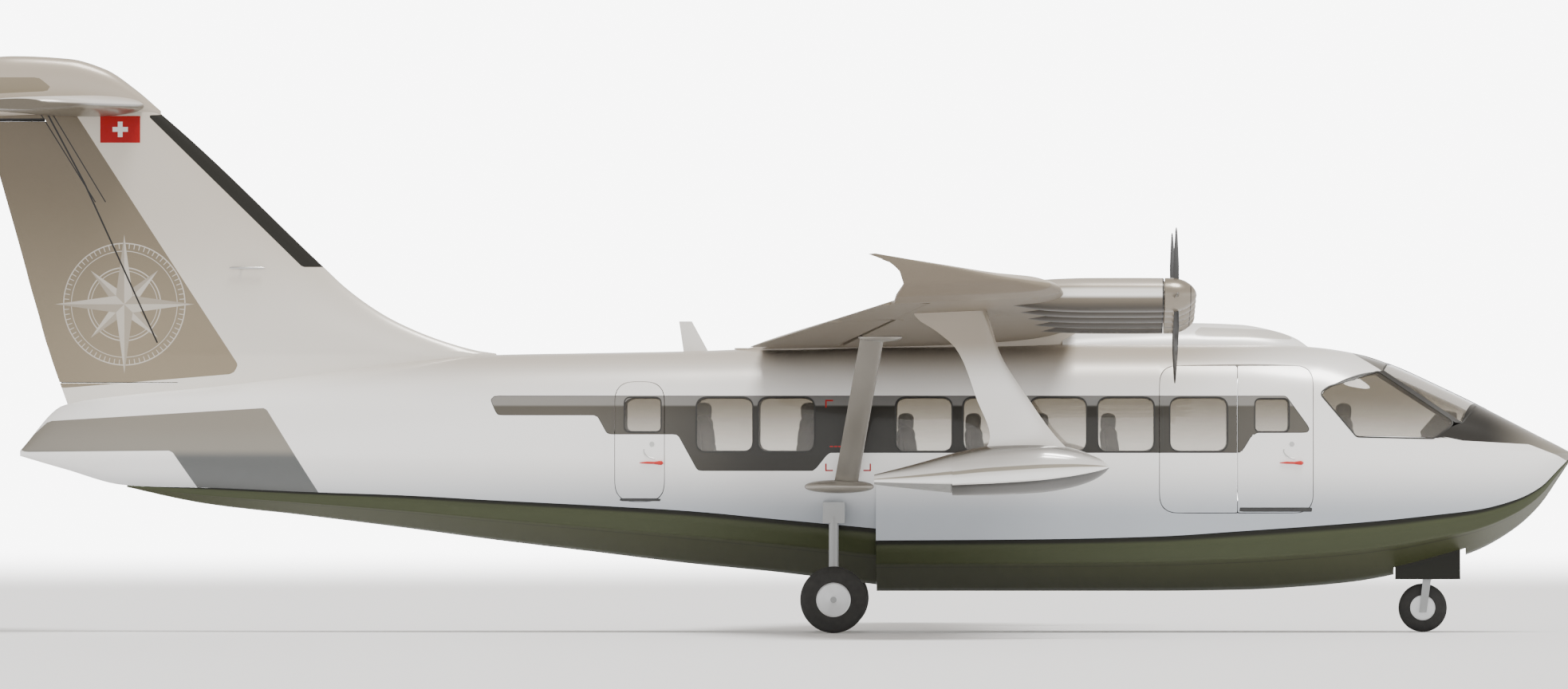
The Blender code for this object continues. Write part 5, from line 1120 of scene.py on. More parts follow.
ground = spinner_finish.mix(spinner_finish.fade(ring_off, 0.006, 0.004), ground, (0.05, 0.045, 0.04))
spinner_finish.set(Base_Color=ground, Roughness=0.28, Metallic=0.45, Coat_Weight=0.4, Coat_Roughness=0.05)
radii = np.concatenate([np.linspace(0.10, 0.68, 22), [0.695, 0.708, 0.717, 0.723, 0.726]])
chord, thick, pitch = (np.interp(radii, BLADE[:, 0], BLADE[:, c])[:, None] for c in (1, 2, 3))
u = eased(10)
outline = np.concatenate([np.stack([0.5 - u, section_half(u) * 5 + 0.06], -1),
                          np.stack([u[1:-1] - 0.5, -0.12 - 0 * u[1:-1]], -1)])
outline[:, 1] /= np.ptp(outline[:, 1])
lean = np.radians(pitch)
a, b = chord * outline[:, 0], thick * outline[:, 1]
blade_rings = np.stack([a * np.sin(lean) + b * np.cos(lean), a * np.cos(lean) - b * np.sin(lean),
                        radii[:, None] + 0 * a], -1)
SPINNER = np.array(((4.400, 0.175), (4.404, 0.183), (4.470, 0.184), (4.540, 0.176), (4.610, 0.155),
                    (4.660, 0.126), (4.695, 0.097), (4.720, 0.067), (4.736, 0.036), (4.743, 0.006)))
x = np.concatenate([np.linspace(4.400, 4.404, 2), np.linspace(4.41, 4.72, 22), np.linspace(4.725, 4.743, 8)])
spinner_profile = np.stack([x, curve_through(SPINNER, 1, x)], -1)
for side, sign in SIDES:
    for k, y in enumerate(NACELLE_Y, 1):
        centre = np.array((PROPELLER_X, sign * y, NACELLE_Z + (y - NACELLE_Y[0]) * NACELLE_RISE))
        parts = []
        for cosine, sine in ((1, 0), (0, 1), (-1, 0), (0, -1)):
            turned_blade = blade_rings @ np.array(((1, 0, 0), (0, cosine, sine), (0, -sine, cosine)))
            parts.append(skin("blade", turned_blade + centre, carbon))
        body = f"propeller_{side}_{k}"
        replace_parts(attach(join(f"{body}_blades", *parts), body), body)
        spinner = turned(f"{body}_spinner", spinner_profile, centre * (0, 1, 1), "X",
                         spinner_finish.material, 48)
        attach(spinner, body)

# A streamlined strut carries each wing, from a pod low on the hull's side to a pod under the wing.
# It is a drawn alloy section, painted silver grey, and bolted to fittings inside both pods.
strut_paint = grained("strut_paint", (1.5, 2.0, (1, 1, 0.3)), (0.25, 0.232, 0.20), (0.33, 0.31, 0.275),
                      (4.0,), 0.002, 0.2, Roughness=0.25, Metallic=0.35, Coat_Weight=0.7, Coat_Roughness=0.08)


def pod(name, centre, half_sizes, finish):
    """A long egg: radius sin(t) to the power 0.85 along its length, elliptical across."""
    t, u = np.meshgrid(np.linspace(0.02, math.pi - 0.02, 31), np.linspace(0, 2 * math.pi, 33)[:-1],
                       indexing="ij")
    wide = np.sin(t) ** 0.85
    a, b, c = half_sizes
    egg = np.stack([-a * np.cos(t), b * wide * np.cos(u), c * wide * np.sin(u)], -1)
    return skin(name, egg + centre, finish)


STRUT_FOOT, STRUT_HEAD = np.array((0.945, 1.00, 1.585)), np.array((1.262, 3.12, 3.270))
STRUT_CHORD, STRUT_THICK = 0.26, 0.085
along = np.linspace(0, 1, 14)[:, None, None]
u = eased(18)
ring = both_sides(np.stack([STRUT_CHORD * (0.42 - u), section_half(u) * STRUT_THICK + 0.002, 0 * u], -1))
strut_rings = STRUT_FOOT + (STRUT_HEAD - STRUT_FOOT) * along + ring
for side, sign in SIDES:
    mirror = np.array((1, sign, 1))
    pods = [pod("pod", np.array(place) * mirror, size, strut_paint) for place, size in
            (((0.86, 1.075, 1.60), (0.38, 0.10, 0.075)), ((1.32, 3.08, 3.235), (0.24, 0.13, 0.05)))]
    strut = join(f"lift_strut_skin_{side}", skin("strut", strut_rings * mirror, strut_paint), *pods)
    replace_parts(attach(strut, "airframe"), f"lift_strut_{side}")

# A stepped float hangs under each wing on a swept pylon with wide fillets at both ends. The float is
# gloss white above its chine, with a beige band along its side and dark grey on its top as painted
# reflections, and dark grey on its planing bottom.
FLOAT_Y, FLOAT_STEP, PYLON_THICK = 7.9, 2.125, 0.15
# Columns: z, leading edge x, trailing edge x
PYLON = np.array(((1.98, 3.42, 2.46), (2.16, 3.24, 2.53), (2.56, 2.95, 2.39), (3.10, 2.62, 2.17),
                  (3.30, 2.56, 1.95), (3.44, 2.52, 1.74), (3.60, 2.47, 1.66)))
# Columns: x, top z, chine z, keel z, half beam, the first three rows behind the step
FLOAT = np.array(((1.286, 1.758, 1.680, 1.652, 0.060), (1.700, 1.865, 1.668, 1.605, 0.190),
                  (2.124, 1.985, 1.662, 1.562, 0.275), (2.126, 1.986, 1.653, 1.535, 0.285),
                  (2.550, 2.068, 1.672, 1.540, 0.320), (3.040, 2.092, 1.706, 1.562, 0.310),
                  (3.360, 2.052, 1.745, 1.610, 0.260), (3.620, 1.970, 1.790, 1.690, 0.170),
                  (3.760, 1.895, 1.822, 1.775, 0.080), (3.806, 1.848, 1.838, 1.825, 0.015)))
DECK = np.array(((1.0, 0.0), (0.985, 0.28), (0.82, 0.66), (0.47, 0.92), (0.0, 1.0)))
float_paint = Finish("float_paint")
float_top = float_paint.mix(float_paint.noise(1.4, 2.0), (0.86, 0.855, 0.84), (0.92, 0.915, 0.905))
# Painted reflections: the top turns dark grey where it faces up, and a beige band runs along the side
float_top = float_paint.mix(float_paint.fade(float_paint.facing("Z"), 0.62, 0.98), float_top,
                            (0.16, 0.155, 0.145))
reflection_band_off = float_paint.off(float_paint.attribute("deck"), 0.30)
float_top = float_paint.mix(float_paint.fade(reflection_band_off, 0.05, 0.03), float_top, (0.36, 0.335, 0.28))
behind = float_paint.fade(float_paint.axis("X"), 2.10, 2.13)
float_bottom = float_paint.mix(behind, (0.30, 0.31, 0.305), (0.020, 0.020, 0.018))
float_paint.bump(float_paint.noise(3.0), 0.002, 0.2)
below = float_paint.fade(float_paint.attribute("bottom"), 0.49, 0.51)
float_paint.set(Base_Color=float_paint.mix(below, float_top, float_bottom), Roughness=0.2, Metallic=0.35,
                Coat_Weight=0.8, Coat_Roughness=0.05)
x = np.concatenate([np.linspace(FLOAT[0, 0], FLOAT_STEP - 0.0005, 22),
                    np.linspace(FLOAT_STEP + 0.0005, FLOAT[-1, 0], 40)])
top, chine, keel, beam = (np.where(x < FLOAT_STEP, curve_through(FLOAT[:3], c, x),
                                   curve_through(FLOAT[3:], c, x))[:, None] for c in (1, 2, 3, 4))
s = np.linspace(0, 1, 15)
knots = np.linspace(0, 1, len(DECK))
deck_y, deck_z = (np.mean([np.interp(np.clip(s + d, 0, 1), knots, DECK[:, k]) for d in (-0.06, 0, 0.06)], 0)
                  for k in (0, 1))
deck_y[-1], deck_z[-1] = 0.0, 1.0
v = np.linspace(0, 1, 8)[:-1]
lower = np.stack([x[:, None] + 0 * v, beam * v, keel + (chine - keel) * v**1.25], -1)
upper = np.stack([x[:, None] + 0 * s, beam * deck_y, chine + (top - chine) * deck_z], -1)
half = np.concatenate([lower, upper], 1)
float_rings = np.concatenate([half, half[:, -2:0:-1] * (1, -1, 1)], 1) + (0, FLOAT_Y, 0)
bottom = np.concatenate([1 + 0 * v, 0 * s])
deck = np.concatenate([0 * v, s])
bottom, deck = (np.tile(np.concatenate([a, a[-2:0:-1]]), len(x)) for a in (bottom, deck))
pylon_paint = Finish("pylon_paint")
# The pylon is painted darker towards its top, as painted shade under the wing
shade = pylon_paint.fade(pylon_paint.axis("Z"), 2.65, 3.20)
pylon_ground = pylon_paint.mix(shade, (0.80, 0.785, 0.76), (0.25, 0.215, 0.168))
pylon_paint.bump(pylon_paint.noise(3.0), 0.002, 0.2)
pylon_paint.set(Base_Color=pylon_ground, Roughness=0.26, Metallic=0.3, Coat_Weight=0.5, Coat_Roughness=0.06)
levels, u = np.linspace(1.99, 3.56, 30)[:, None], eased(20)
lead, trail = (curve_through(PYLON, c, levels) for c in (1, 2))
fillets = 0.10 * np.clip((levels - 3.3) / 0.3, 0, 1) ** 2 + 0.06 * np.clip((2.25 - levels) / 0.25, 0, 1) ** 2
side_y = FLOAT_Y + section_half(u) * (PYLON_THICK + fillets) * (lead - trail) + 0.003
port = np.stack([lead - u * (lead - trail), side_y, levels + 0 * u], -1)
pylon_rings = np.concatenate([port, port[:, ::-1] * (1, -1, 1) + (0, 2 * FLOAT_Y, 0)], 1)
for side, sign in SIDES:
    mirror = (1, sign, 1)
    hull_of_float = mesh_piece(f"float_skin_{side}", float_rings * mirror,
                               [*grid_faces(*float_rings.shape[:2], True).tolist(),
                                list(range(float_rings.shape[1]))[::-1],
                                list(range(float_rings[:-1].size // 3, float_rings.size // 3))],
                               float_paint.material)
    for name, values in (("bottom", bottom), ("deck", deck)):
        store(hull_of_float, name, values)
    weld(hull_of_float, 30)
    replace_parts(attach(hull_of_float, "airframe"), f"wing_float_{side}")
    pylon = skin(f"float_pylon_skin_{side}", pylon_rings * mirror, pylon_paint.material)
    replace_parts(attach(pylon, "airframe"), f"float_pylon_{side}")

# The fin is a swept composite box with a long dorsal fillet and a black rubber boot on its leading
# edge. The rudder hangs in a cove on its slanted aft spar, and a probe stands out of its side.
# Columns: z, leading edge x, trailing edge x, thickness share
FIN = np.array(((2.45, -3.30, -7.60, 0.20), (3.050, -2.90, -7.81, 0.22), (3.084, -3.106, -7.82, 0.23),
                (3.171, -3.43, -7.85, 0.25), (3.311, -3.806, -7.89, 0.28), (3.482, -4.148, -7.935, 0.30),
                (3.775, -4.56, -8.02, 0.31), (4.003, -4.804, -8.08, 0.31), (5.66, -6.56, -8.548, 0.20),
                (5.74, -6.66, -8.57, 0.18)))
RUDDER_FOOT, RUDDER_HEAD = np.array((-6.501, 2.95)), np.array((-7.896, 5.709))
RUDDER_Z = (2.74, 5.60)
FOOT_GAP, HEAD_GAP, SEAL_HALF, SEAL_GAP = 0.010, 0.034, 0.003, 0.0006
FIN_STRIPE = (((-8.70, 5.669), (-7.700, 2.673), (-5.800, 2.830), (-5.740, 2.930), (-7.525, 5.683)), 0.05)
BOOT = (((-6.737, 5.668), (-6.50, 5.680), (-4.60, 4.060), (-4.60, 4.003), (-5.037, 4.003)), 0.005)
PATCH_X, PATCH_Z = (-7.254, -6.816), (5.367, 5.661)
ROSE = (-6.991, 3.596)
ROSE_OUTER, ROSE_INNER = 0.667, 0.400
HINGE_LINE = (((-7.842, 5.70), (-7.430, 4.929)), ((-7.430, 4.929), (-6.632, 3.18)))
RUDDER_LINES = (((-7.936, 5.726), (-7.310, 4.720)), ((-7.796, 5.711), (-7.198, 4.720)))


def fin_half(z, x):
    """Half the fin's thickness at a height and a place between its edges."""
    lead, trail, share = (curve_through(FIN, c, z) for c in (1, 2, 3))
    return section_half(np.clip((lead - x) / (lead - trail), 0, 1)) * share + 0.004


def hinge_x(z):
    """The slanted hinge line's place at a height."""
    run, rise = RUDDER_HEAD - RUDDER_FOOT
    return RUDDER_FOOT[0] + (z - RUDDER_FOOT[1]) * run / rise


def rudder_nose(z):
    """The rudder's nose radius, which falls from foot to head."""
    return np.interp(z, (2.0, 7.0), (0.137, 0.068))


LEAN = math.atan2(RUDDER_FOOT[0] - RUDDER_HEAD[0], RUDDER_HEAD[1] - RUDDER_FOOT[1])
FORE = eased(70)


def fin_section(z, cove):
    """A level section, both sides from leading edge to hinge line, with a cove or the trailing edge."""
    lead, trail = (float(curve_through(FIN, c, np.float64(z))) for c in (1, 2))
    hinge, radius = hinge_x(z), float(rudder_nose(z)) + RUNNING
    radius_x = radius / math.cos(LEAN)
    end = hinge - 0.01
    x = lead - FORE * (lead - end)
    port = np.stack([x, fin_half(z, x), z + 0 * x], -1)
    if cove:
        width = port[-1, 1]
        lip = math.asin(min(0.98, width / radius))
        turn = lip * np.linspace(1, 0, 9)
        side = np.stack([hinge + radius_x * np.cos(turn), radius * np.sin(turn), z + 0 * turn], -1)
        side[:, 1] = np.minimum(side[:, 1], width)
    else:
        back = end - (end - trail) * np.linspace(0, 1, 10)[1:]
        side = np.stack([back, fin_half(z, back), z + 0 * back], -1)
    return both_sides(np.concatenate([port, side]))


fin_paint = Finish("fin_paint")
high = fin_paint.axis("Z")
# The fin's white and its tan stripe are both painted darker towards the top, as painted shade under the
# tailplane
fin_ground = fin_paint.mix(fin_paint.fade(high, 2.6, 4.8), (0.74, 0.71, 0.655), (0.52, 0.475, 0.41))
tan = fin_paint.mix(fin_paint.fade(high, 5.2, 3.0), (0.120, 0.095, 0.062), (0.23, 0.19, 0.13))


def rose_marks(made, high):
    """A plain compass rose: two pairs of rings, a ring of degree ticks and an eight-pointed half-shaded star.

    A point lies in the star where its distance along the nearest tip's line, times the waist's width
    over its drop from the tip, plus its distance aside, is less than the same sum at the tip.
    """
    dx, dz = made.math("SUBTRACT", made.axis("X"), ROSE[0]), made.math("SUBTRACT", high, ROSE[1])
    r, angle, marks = made.radius(dx, dz), made.math("ARCTAN2", dx, dz), 0.0
    for radius, width in ((ROSE_OUTER, 0.008), (ROSE_OUTER - 0.085, 0.005), (ROSE_INNER, 0.008),
                          (ROSE_INNER - 0.035, 0.005)):
        marks = made.math("MAXIMUM", marks, made.fade(made.off(r, radius), width, width * 0.5))
    tick = made.math("PINGPONG", made.math("MULTIPLY", angle, 36 / math.pi), 0.5)
    in_ring = made.math("MULTIPLY", made.fade(r, ROSE_OUTER - 0.06, ROSE_OUTER - 0.055),
                        made.fade(r, ROSE_OUTER, ROSE_OUTER - 0.005))
    marks = made.math("MAXIMUM", marks, made.math("MULTIPLY", in_ring, made.fade(tick, 0.10, 0.05)))
    for turn, reach, waist in ((0.25 * math.pi, 0.52, 0.115), (0.0, 0.76, 0.13)):
        turned_angle = made.math("ADD", angle, turn)
        local = made.math("PINGPONG", turned_angle, math.pi / 4)
        slope = waist * math.sin(math.pi / 4) / (reach - waist * math.cos(math.pi / 4))
        along, aside = (made.math("MULTIPLY", r, made.math(part, local)) for part in ("COSINE", "SINE"))
        edge = made.math("ADD", made.math("MULTIPLY", along, slope), aside)
        star = made.fade(edge, reach * slope + 0.003, reach * slope - 0.003)
        half = made.math("GREATER_THAN", made.math("SINE", made.math("MULTIPLY", turned_angle, 4.0)), 0.0)
        marks = made.math("MULTIPLY", marks, made.math("SUBTRACT", 1.0, made.math("MULTIPLY", star, 0.85)))
        shaded = made.math("MULTIPLY", star, made.math("MULTIPLY_ADD", half, 0.55, 0.40))
        marks = made.math("MAXIMUM", marks, shaded)
    return marks


rose = fin_paint.math("MULTIPLY", rose_marks(fin_paint, high), 0.62)
lines = [(fin_paint.stroke(start, end, half), (0.003, 0.003, 0.003))
         for strokes, half in ((RUDDER_LINES, 0.006), (HINGE_LINE, 0.009)) for start, end in strokes]
fin_ground = fin_paint.coats(fin_ground, (fin_paint.inside("fin_stripe"), tan), (rose, (0.62, 0.59, 0.54)),
                             *lines, (fin_paint.inside("boot"), (0.012, 0.012, 0.010)))
fin_paint.bump(fin_paint.noise(1.6, 2.0), 0.005, 0.25)
fin_paint.set(Base_Color=fin_ground, Roughness=0.3, Metallic=0.2, Specular_IOR_Level=0.3, Coat_Weight=0.25,
              Coat_Roughness=0.07)
heights = np.unique(np.concatenate([np.linspace(2.45, 3.8, 50), np.linspace(3.8, 5.74, 60)]))
foot, head = RUDDER_Z[0] - FOOT_GAP, RUDDER_Z[1] + HEAD_GAP
levels = [(z, False) for z in heights if z < foot - 0.005] + [(foot - 0.0005, False), (foot, True)]
levels += [(z, True) for z in heights if foot + 0.005 < z < head - 0.005]
levels += [(head, True), (head + 0.0005, False)]
levels += [(z, False) for z in heights if z > head + 0.005]
fin_piece = skin("fin_skin", [fin_section(z, cove) for z, cove in levels], fin_paint.material)


def superellipse(t, power):
    """The unit superellipse at angle t: its cosine and sine, each to the power 2 over power."""
    cosine, sine = np.cos(t), np.sin(t)
    return (np.copysign(np.abs(cosine) ** (2 / power), cosine),
            np.copysign(np.abs(sine) ** (2 / power), sine))


# Columns: x, top z, half width
FIN_CAP = np.array(((-8.881, 6.050, 0.020), (-8.760, 6.220, 0.060), (-8.500, 6.300, 0.120),
                    (-8.200, 6.320, 0.150), (-7.600, 6.290, 0.155), (-7.200, 6.175, 0.140),
                    (-6.850, 5.940, 0.100), (-6.590, 5.715, 0.030)))
CAP_FOOT = 5.66
cap_paint = pearl_paint("fin_cap_paint", ("cap_patch", TAN))
t = np.linspace(0, 2 * math.pi, 40, endpoint=False)
rings = []
for x in np.linspace(FIN_CAP[0, 0], FIN_CAP[-1, 0], 44):
    top, half = (float(curve_through(FIN_CAP, c, x)) for c in (1, 2))
    a, b = superellipse(t, 2.3)
    rings.append(np.stack([x + 0 * t, half * a, CAP_FOOT + (top - CAP_FOOT) * (1 + b) / 2], -1))
cap = skin("fin_cap", rings, cap_paint)
paint_areas(cap, cap_patch=(((-8.95, 6.085), (-7.93, 6.085), (-7.74, 5.937), (-8.95, 5.88)), 0.05))
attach(cap, "airframe")
paint_areas(fin_piece, fin_stripe=FIN_STRIPE, boot=BOOT)
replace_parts(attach(fin_piece, "airframe"), "fin")
rings = []
for z in np.linspace(*RUDDER_Z, 40):
    hinge, radius = hinge_x(z), float(rudder_nose(z))
    radius_x = radius / math.cos(LEAN)
    trail = float(curve_through(FIN, 2, np.float64(z)))
    x = hinge - 0.01 - (hinge - 0.01 - trail) * np.linspace(0, 1, 14)
    port = np.stack([x, np.minimum(fin_half(z, x), radius + 0 * x + 0.05), z + 0 * x], -1)
    lip = math.asin(min(0.98, port[0, 1] / radius))
    turn = np.linspace(0, lip, 9)
    nose = np.stack([hinge + radius_x * np.cos(turn), radius * np.sin(turn), z + 0 * turn], -1)
    nose[:, 1] = np.minimum(nose[:, 1], port[0, 1])
    half = np.concatenate([nose, port])
    rings.append(np.concatenate([half, half[:0:-1] * (1, -1, 1)]))
rudder = skin("rudder_skin", rings, fin_paint.material)
paint_areas(rudder, fin_stripe=FIN_STRIPE, boot=BOOT)
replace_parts(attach(rudder, "rudder"), "rudder")
# A thin rubber seal closes each of the rudder's end gaps: the foot's hangs from the rudder, and the
# head's hangs from the fin, so that both draw clear as the rudder turns.
for name, body, low, high in (("rudder_foot_seal", "rudder", foot + SEAL_GAP, RUDDER_Z[0] + 0.0002),
                              ("fin_head_seal", "airframe", RUDDER_Z[1] + SEAL_GAP, head + 0.0003)):
    x = np.linspace(hinge_x(high) - 0.005, float(curve_through(FIN, 2, np.float64(low))) + 0.012, 14)[:, None]
    corner_y, corner_z = np.array((-1, 1, 1, -1)) * SEAL_HALF, np.array((low, low, high, high))
    seal = skin(name, np.stack([x + 0 * corner_y, corner_y + 0 * x, corner_z + 0 * x], -1), rubber)
    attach(seal, body)
patch_paint = Finish("patch_red")
arms = [patch_paint.off(patch_paint.axis(letter), sum(edges) / 2)
        for letter, edges in (("X", PATCH_X), ("Z", PATCH_Z))]
bars = [patch_paint.math("MULTIPLY", patch_paint.fade(a, 0.027, 0.025), patch_paint.fade(b, 0.085, 0.083))
        for a, b in (arms, arms[::-1])]
ground = patch_paint.mix(patch_paint.noise(6.0), (0.26, 0.0025, 0.003), (0.32, 0.004, 0.005))
ground = patch_paint.mix(patch_paint.math("MAXIMUM", *bars), ground, (0.62, 0.62, 0.60))
patch_paint.bump(patch_paint.noise(50.0), 0.0003, 0.3)
patch_paint.set(Base_Color=ground, Roughness=0.4, Specular_IOR_Level=0.2)
x, z = np.meshgrid(np.linspace(*PATCH_X, 15), np.linspace(*PATCH_Z, 9), indexing="ij")
for side, sign in SIDES:
    outer, inner = (np.stack([x, sign * (fin_half(z, x) + lift), z], -1) for lift in (0.003, -0.002))
    patch = plate(f"fin_patch_{side}", outer, inner, patch_paint.material)
    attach(patch, "airframe")
PROBE_Z, PROBE_OUT = 3.994, 0.052
probe_y = -float(fin_half(np.float64(PROBE_Z), np.float64(-5.6)))
reach = probe_y - PROBE_OUT
probe = rod("pitot_probe", [(-5.835, reach + 0.002, PROBE_Z), (-5.80, reach, PROBE_Z),
                            (-5.48, reach, PROBE_Z), (-5.447, reach, PROBE_Z)], (0.004, 0.014, 0.014, 0.006),
            steel)
post = rod("pitot_post", [(-5.70, y, PROBE_Z) for y in (probe_y + 0.02, probe_y - 0.02, reach)],
           (0.018, 0.012, 0.010), steel)
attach(join("fin_probe", probe, post), "airframe")

# The tailplane passes through the fin's cap in one piece and carries an elevator on each side, which
# turns on a hinge line ahead of its round nose.
TAILPLANE_Z = 5.77
# Columns: y, leading edge x, trailing edge x
TAILPLANE = np.array(((0.0, -6.74, -8.84), (3.05, -7.33, -8.80), (3.18, -7.41, -8.795), (3.25, -7.47, -8.79),
                      (3.31, -7.57, -8.78), (3.35, -7.75, -8.76)))
ELEVATOR_X, ELEVATOR_Y = -8.33, (0.20, 3.10)


def tailplane_half(y, x):
    """Half the tailplane's thickness at a span and a fore-and-aft place."""
    lead, trail = (np.interp(y, TAILPLANE[:, 0], TAILPLANE[:, c]) for c in (1, 2))
    return section_half(np.clip((lead - x) / (lead - trail), 0, 1)) * 0.11 * (lead - trail) + 0.003


def tailplane_section(y, cove):
    """A fore-and-aft section from nose to tail over the top, with its mirror image below."""
    lead, trail = (float(np.interp(abs(y), TAILPLANE[:, 0], TAILPLANE[:, c])) for c in (1, 2))
    x = lead - FORE * (lead - ELEVATOR_X)
    upper = np.stack([x, y + 0 * x, TAILPLANE_Z + tailplane_half(abs(y), x)], -1)
    if cove:
        rise = upper[-1, 2] - TAILPLANE_Z
        turn = np.linspace(math.pi / 2, 0, 9)[:-1]
        x, z = ELEVATOR_X + (rise + RUNNING) * np.cos(turn), TAILPLANE_Z + rise * np.sin(turn)
    else:
        x = ELEVATOR_X - (ELEVATOR_X - trail) * np.linspace(0, 1, 9)[1:]
        z = TAILPLANE_Z + tailplane_half(abs(y), x)
    back = np.stack([x, y + 0 * x, z], -1)
    half = np.concatenate([upper, back])
    return np.concatenate([half, half[::-1] * (1, 1, -1) + (0, 0, 2 * TAILPLANE_Z)])


tail_paint = Finish("tailplane_paint")
tail_ground = tail_paint.mix(tail_paint.noise(0.9, 2.0), (0.085, 0.072, 0.053), (0.115, 0.099, 0.076))
# The tailplane is painted dark on faces that look down and pale on faces that look up: painted shade below,
# painted light above
tail_ground = tail_paint.mix(tail_paint.fade(tail_paint.facing("Z"), 0.05, 0.75), tail_ground,
                             (0.62, 0.59, 0.545))
tail_paint.bump(tail_paint.noise(2.0), 0.003, 0.2)
tail_paint.set(Base_Color=tail_ground, Roughness=0.34, Metallic=0.3, Specular_IOR_Level=0.3, Coat_Weight=0.2,
               Coat_Roughness=0.1)
inner, outer = ELEVATOR_Y[0] - END_GAP, ELEVATOR_Y[1] + END_GAP
stations = [(y, False) for y in (3.35, 3.34, 3.32, 3.29, 3.25, 3.21, 3.18, outer)]
stations += [(y, True) for y in np.linspace(outer, inner, 12)] + [(inner, False)]
stations += [(-y, cove) for y, cove in stations[::-1]]
tailplane = skin("tailplane_skin", [tailplane_section(y, cove) for y, cove in stations], tail_paint.material)
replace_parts(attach(tailplane, "airframe"), "tailplane")
for side, sign in SIDES:
    rings = []
    for y in np.linspace(*ELEVATOR_Y, 12):
        trail = float(np.interp(y, TAILPLANE[:, 0], TAILPLANE[:, 2]))
        x = ELEVATOR_X - (ELEVATOR_X - trail) * np.linspace(0, 1, 9)
        upper = np.stack([x, y + 0 * x, tailplane_half(y, x)], -1)
        turn = np.linspace(0, math.pi / 2, 7)[:-1]
        nose = np.stack([ELEVATOR_X + upper[0, 2] * np.cos(turn), y + 0 * turn, upper[0, 2] * np.sin(turn)],
                        -1)
        half = np.concatenate([nose, upper])
        rings.append(np.concatenate([half, half[:0:-1] * (1, 1, -1)]) + (0, 0, TAILPLANE_Z))
    elevator = skin(f"elevator_skin_{side}", np.array(rings) * (1, sign, 1), tail_paint.material)
    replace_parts(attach(elevator, f"elevator_{side}"), f"elevator_{side}")

# The cabin is lined with a pale moulded trim, shut off by a bulkhead at each end, over a carpeted
# floor on two levels with a raised cargo panel between the forward doors.
CABIN_SPAN = (-1.84, 7.90)
trim = grained("cabin_lining_trim", (2.5,), (0.50, 0.485, 0.455), (0.58, 0.565, 0.535), (300.0, 2.0), 0.0006,
               0.4, Roughness=0.7)
sheets = [hull_sheet(holes, CABIN_SPAN, (0.08, 0.03), WALL, 0.0) for holes in (port_holes, starboard_holes)]
lining = closed_hull("cabin_lining", sheets, trim, inward=True)
lining.data.set_sharp_from_angle(angle=math.radians(40))
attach(lining, "airframe")
carpet = Finish("floor_carpet")
pile = carpet.noise(420.0, 4.0)
carpet.bump(pile, 0.003, 0.7)
carpet.set(Base_Color=carpet.mix(pile, (0.035, 0.036, 0.038), (0.10, 0.10, 0.105)), Roughness=0.95,
           Sheen_Weight=0.3)
case = Finish("battery_case")
case.bump(case.math("SINE", case.math("MULTIPLY", case.axis("X"), 42.0)), 0.006, 0.6)
case.set(Base_Color=case.mix(case.noise(9.0), (0.16, 0.17, 0.18), (0.21, 0.22, 0.23)), Roughness=0.5,
         Metallic=0.3)
panel_black = grained("instrument_panel_black", (12.0,), (0.022, 0.022, 0.024), (0.040, 0.040, 0.042),
                      (400.0,), 0.0006, 0.5, Roughness=0.75)


def finish_node(node, finish):
    """Gives a solid that stays in sight its own finish."""
    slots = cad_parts[node].data.materials
    slots.clear()
    slots.append(finish)


finish_node("cabin_floor", carpet.material)
finish_node("battery_pack", case.material)
finish_node("instrument_panel", panel_black)

# Cabin seats stand in rows, two to port and one to starboard, the two aft rows face to face. Each is
# a padded cushion, back and headrest on a moulded shell, with four legs on two floor rails.
FLOOR = ((-1.85, 1.425), (1.02, 1.310), (6.10, 1.420))
SEAT_ROWS = ((-0.60, 1), (0.48, -1), (1.62, 1), (2.36, 1), (3.10, 1), (3.84, 1))
SEAT_COLUMNS = {"left": (0.31, 0.72), "right": (-0.72,)}
CREW_SEATS, CREW_FLOOR = (6.42, 0.42), 1.42
SEAT_FORWARD = 0.15
PAD_VOXEL, PAD_SWELL, PAD_PRESSURE, PAD_FRAMES = 0.017, 0.012, 4.0, 20
cloth = Finish("seat_cloth")
weave = [cloth.math("SINE", cloth.math("MULTIPLY", cloth.axis(letter), 2600.0)) for letter in "YZ"]
threads = cloth.math("MULTIPLY", *weave)
cloth.bump(threads, 0.0008, 0.5)
wear = cloth.math("MULTIPLY_ADD", threads, 0.2, cloth.noise(7.0))
cloth.set(Base_Color=cloth.mix(wear, (0.050, 0.046, 0.041), (0.105, 0.097, 0.087)), Roughness=0.85,
          Sheen_Weight=0.4, Sheen_Roughness=0.5)
shell_plastic = grained("seat_shell_plastic", (9.0,), (0.045, 0.043, 0.040), (0.075, 0.072, 0.067), (260.0,),
                        0.0005, 0.4, Roughness=0.5)


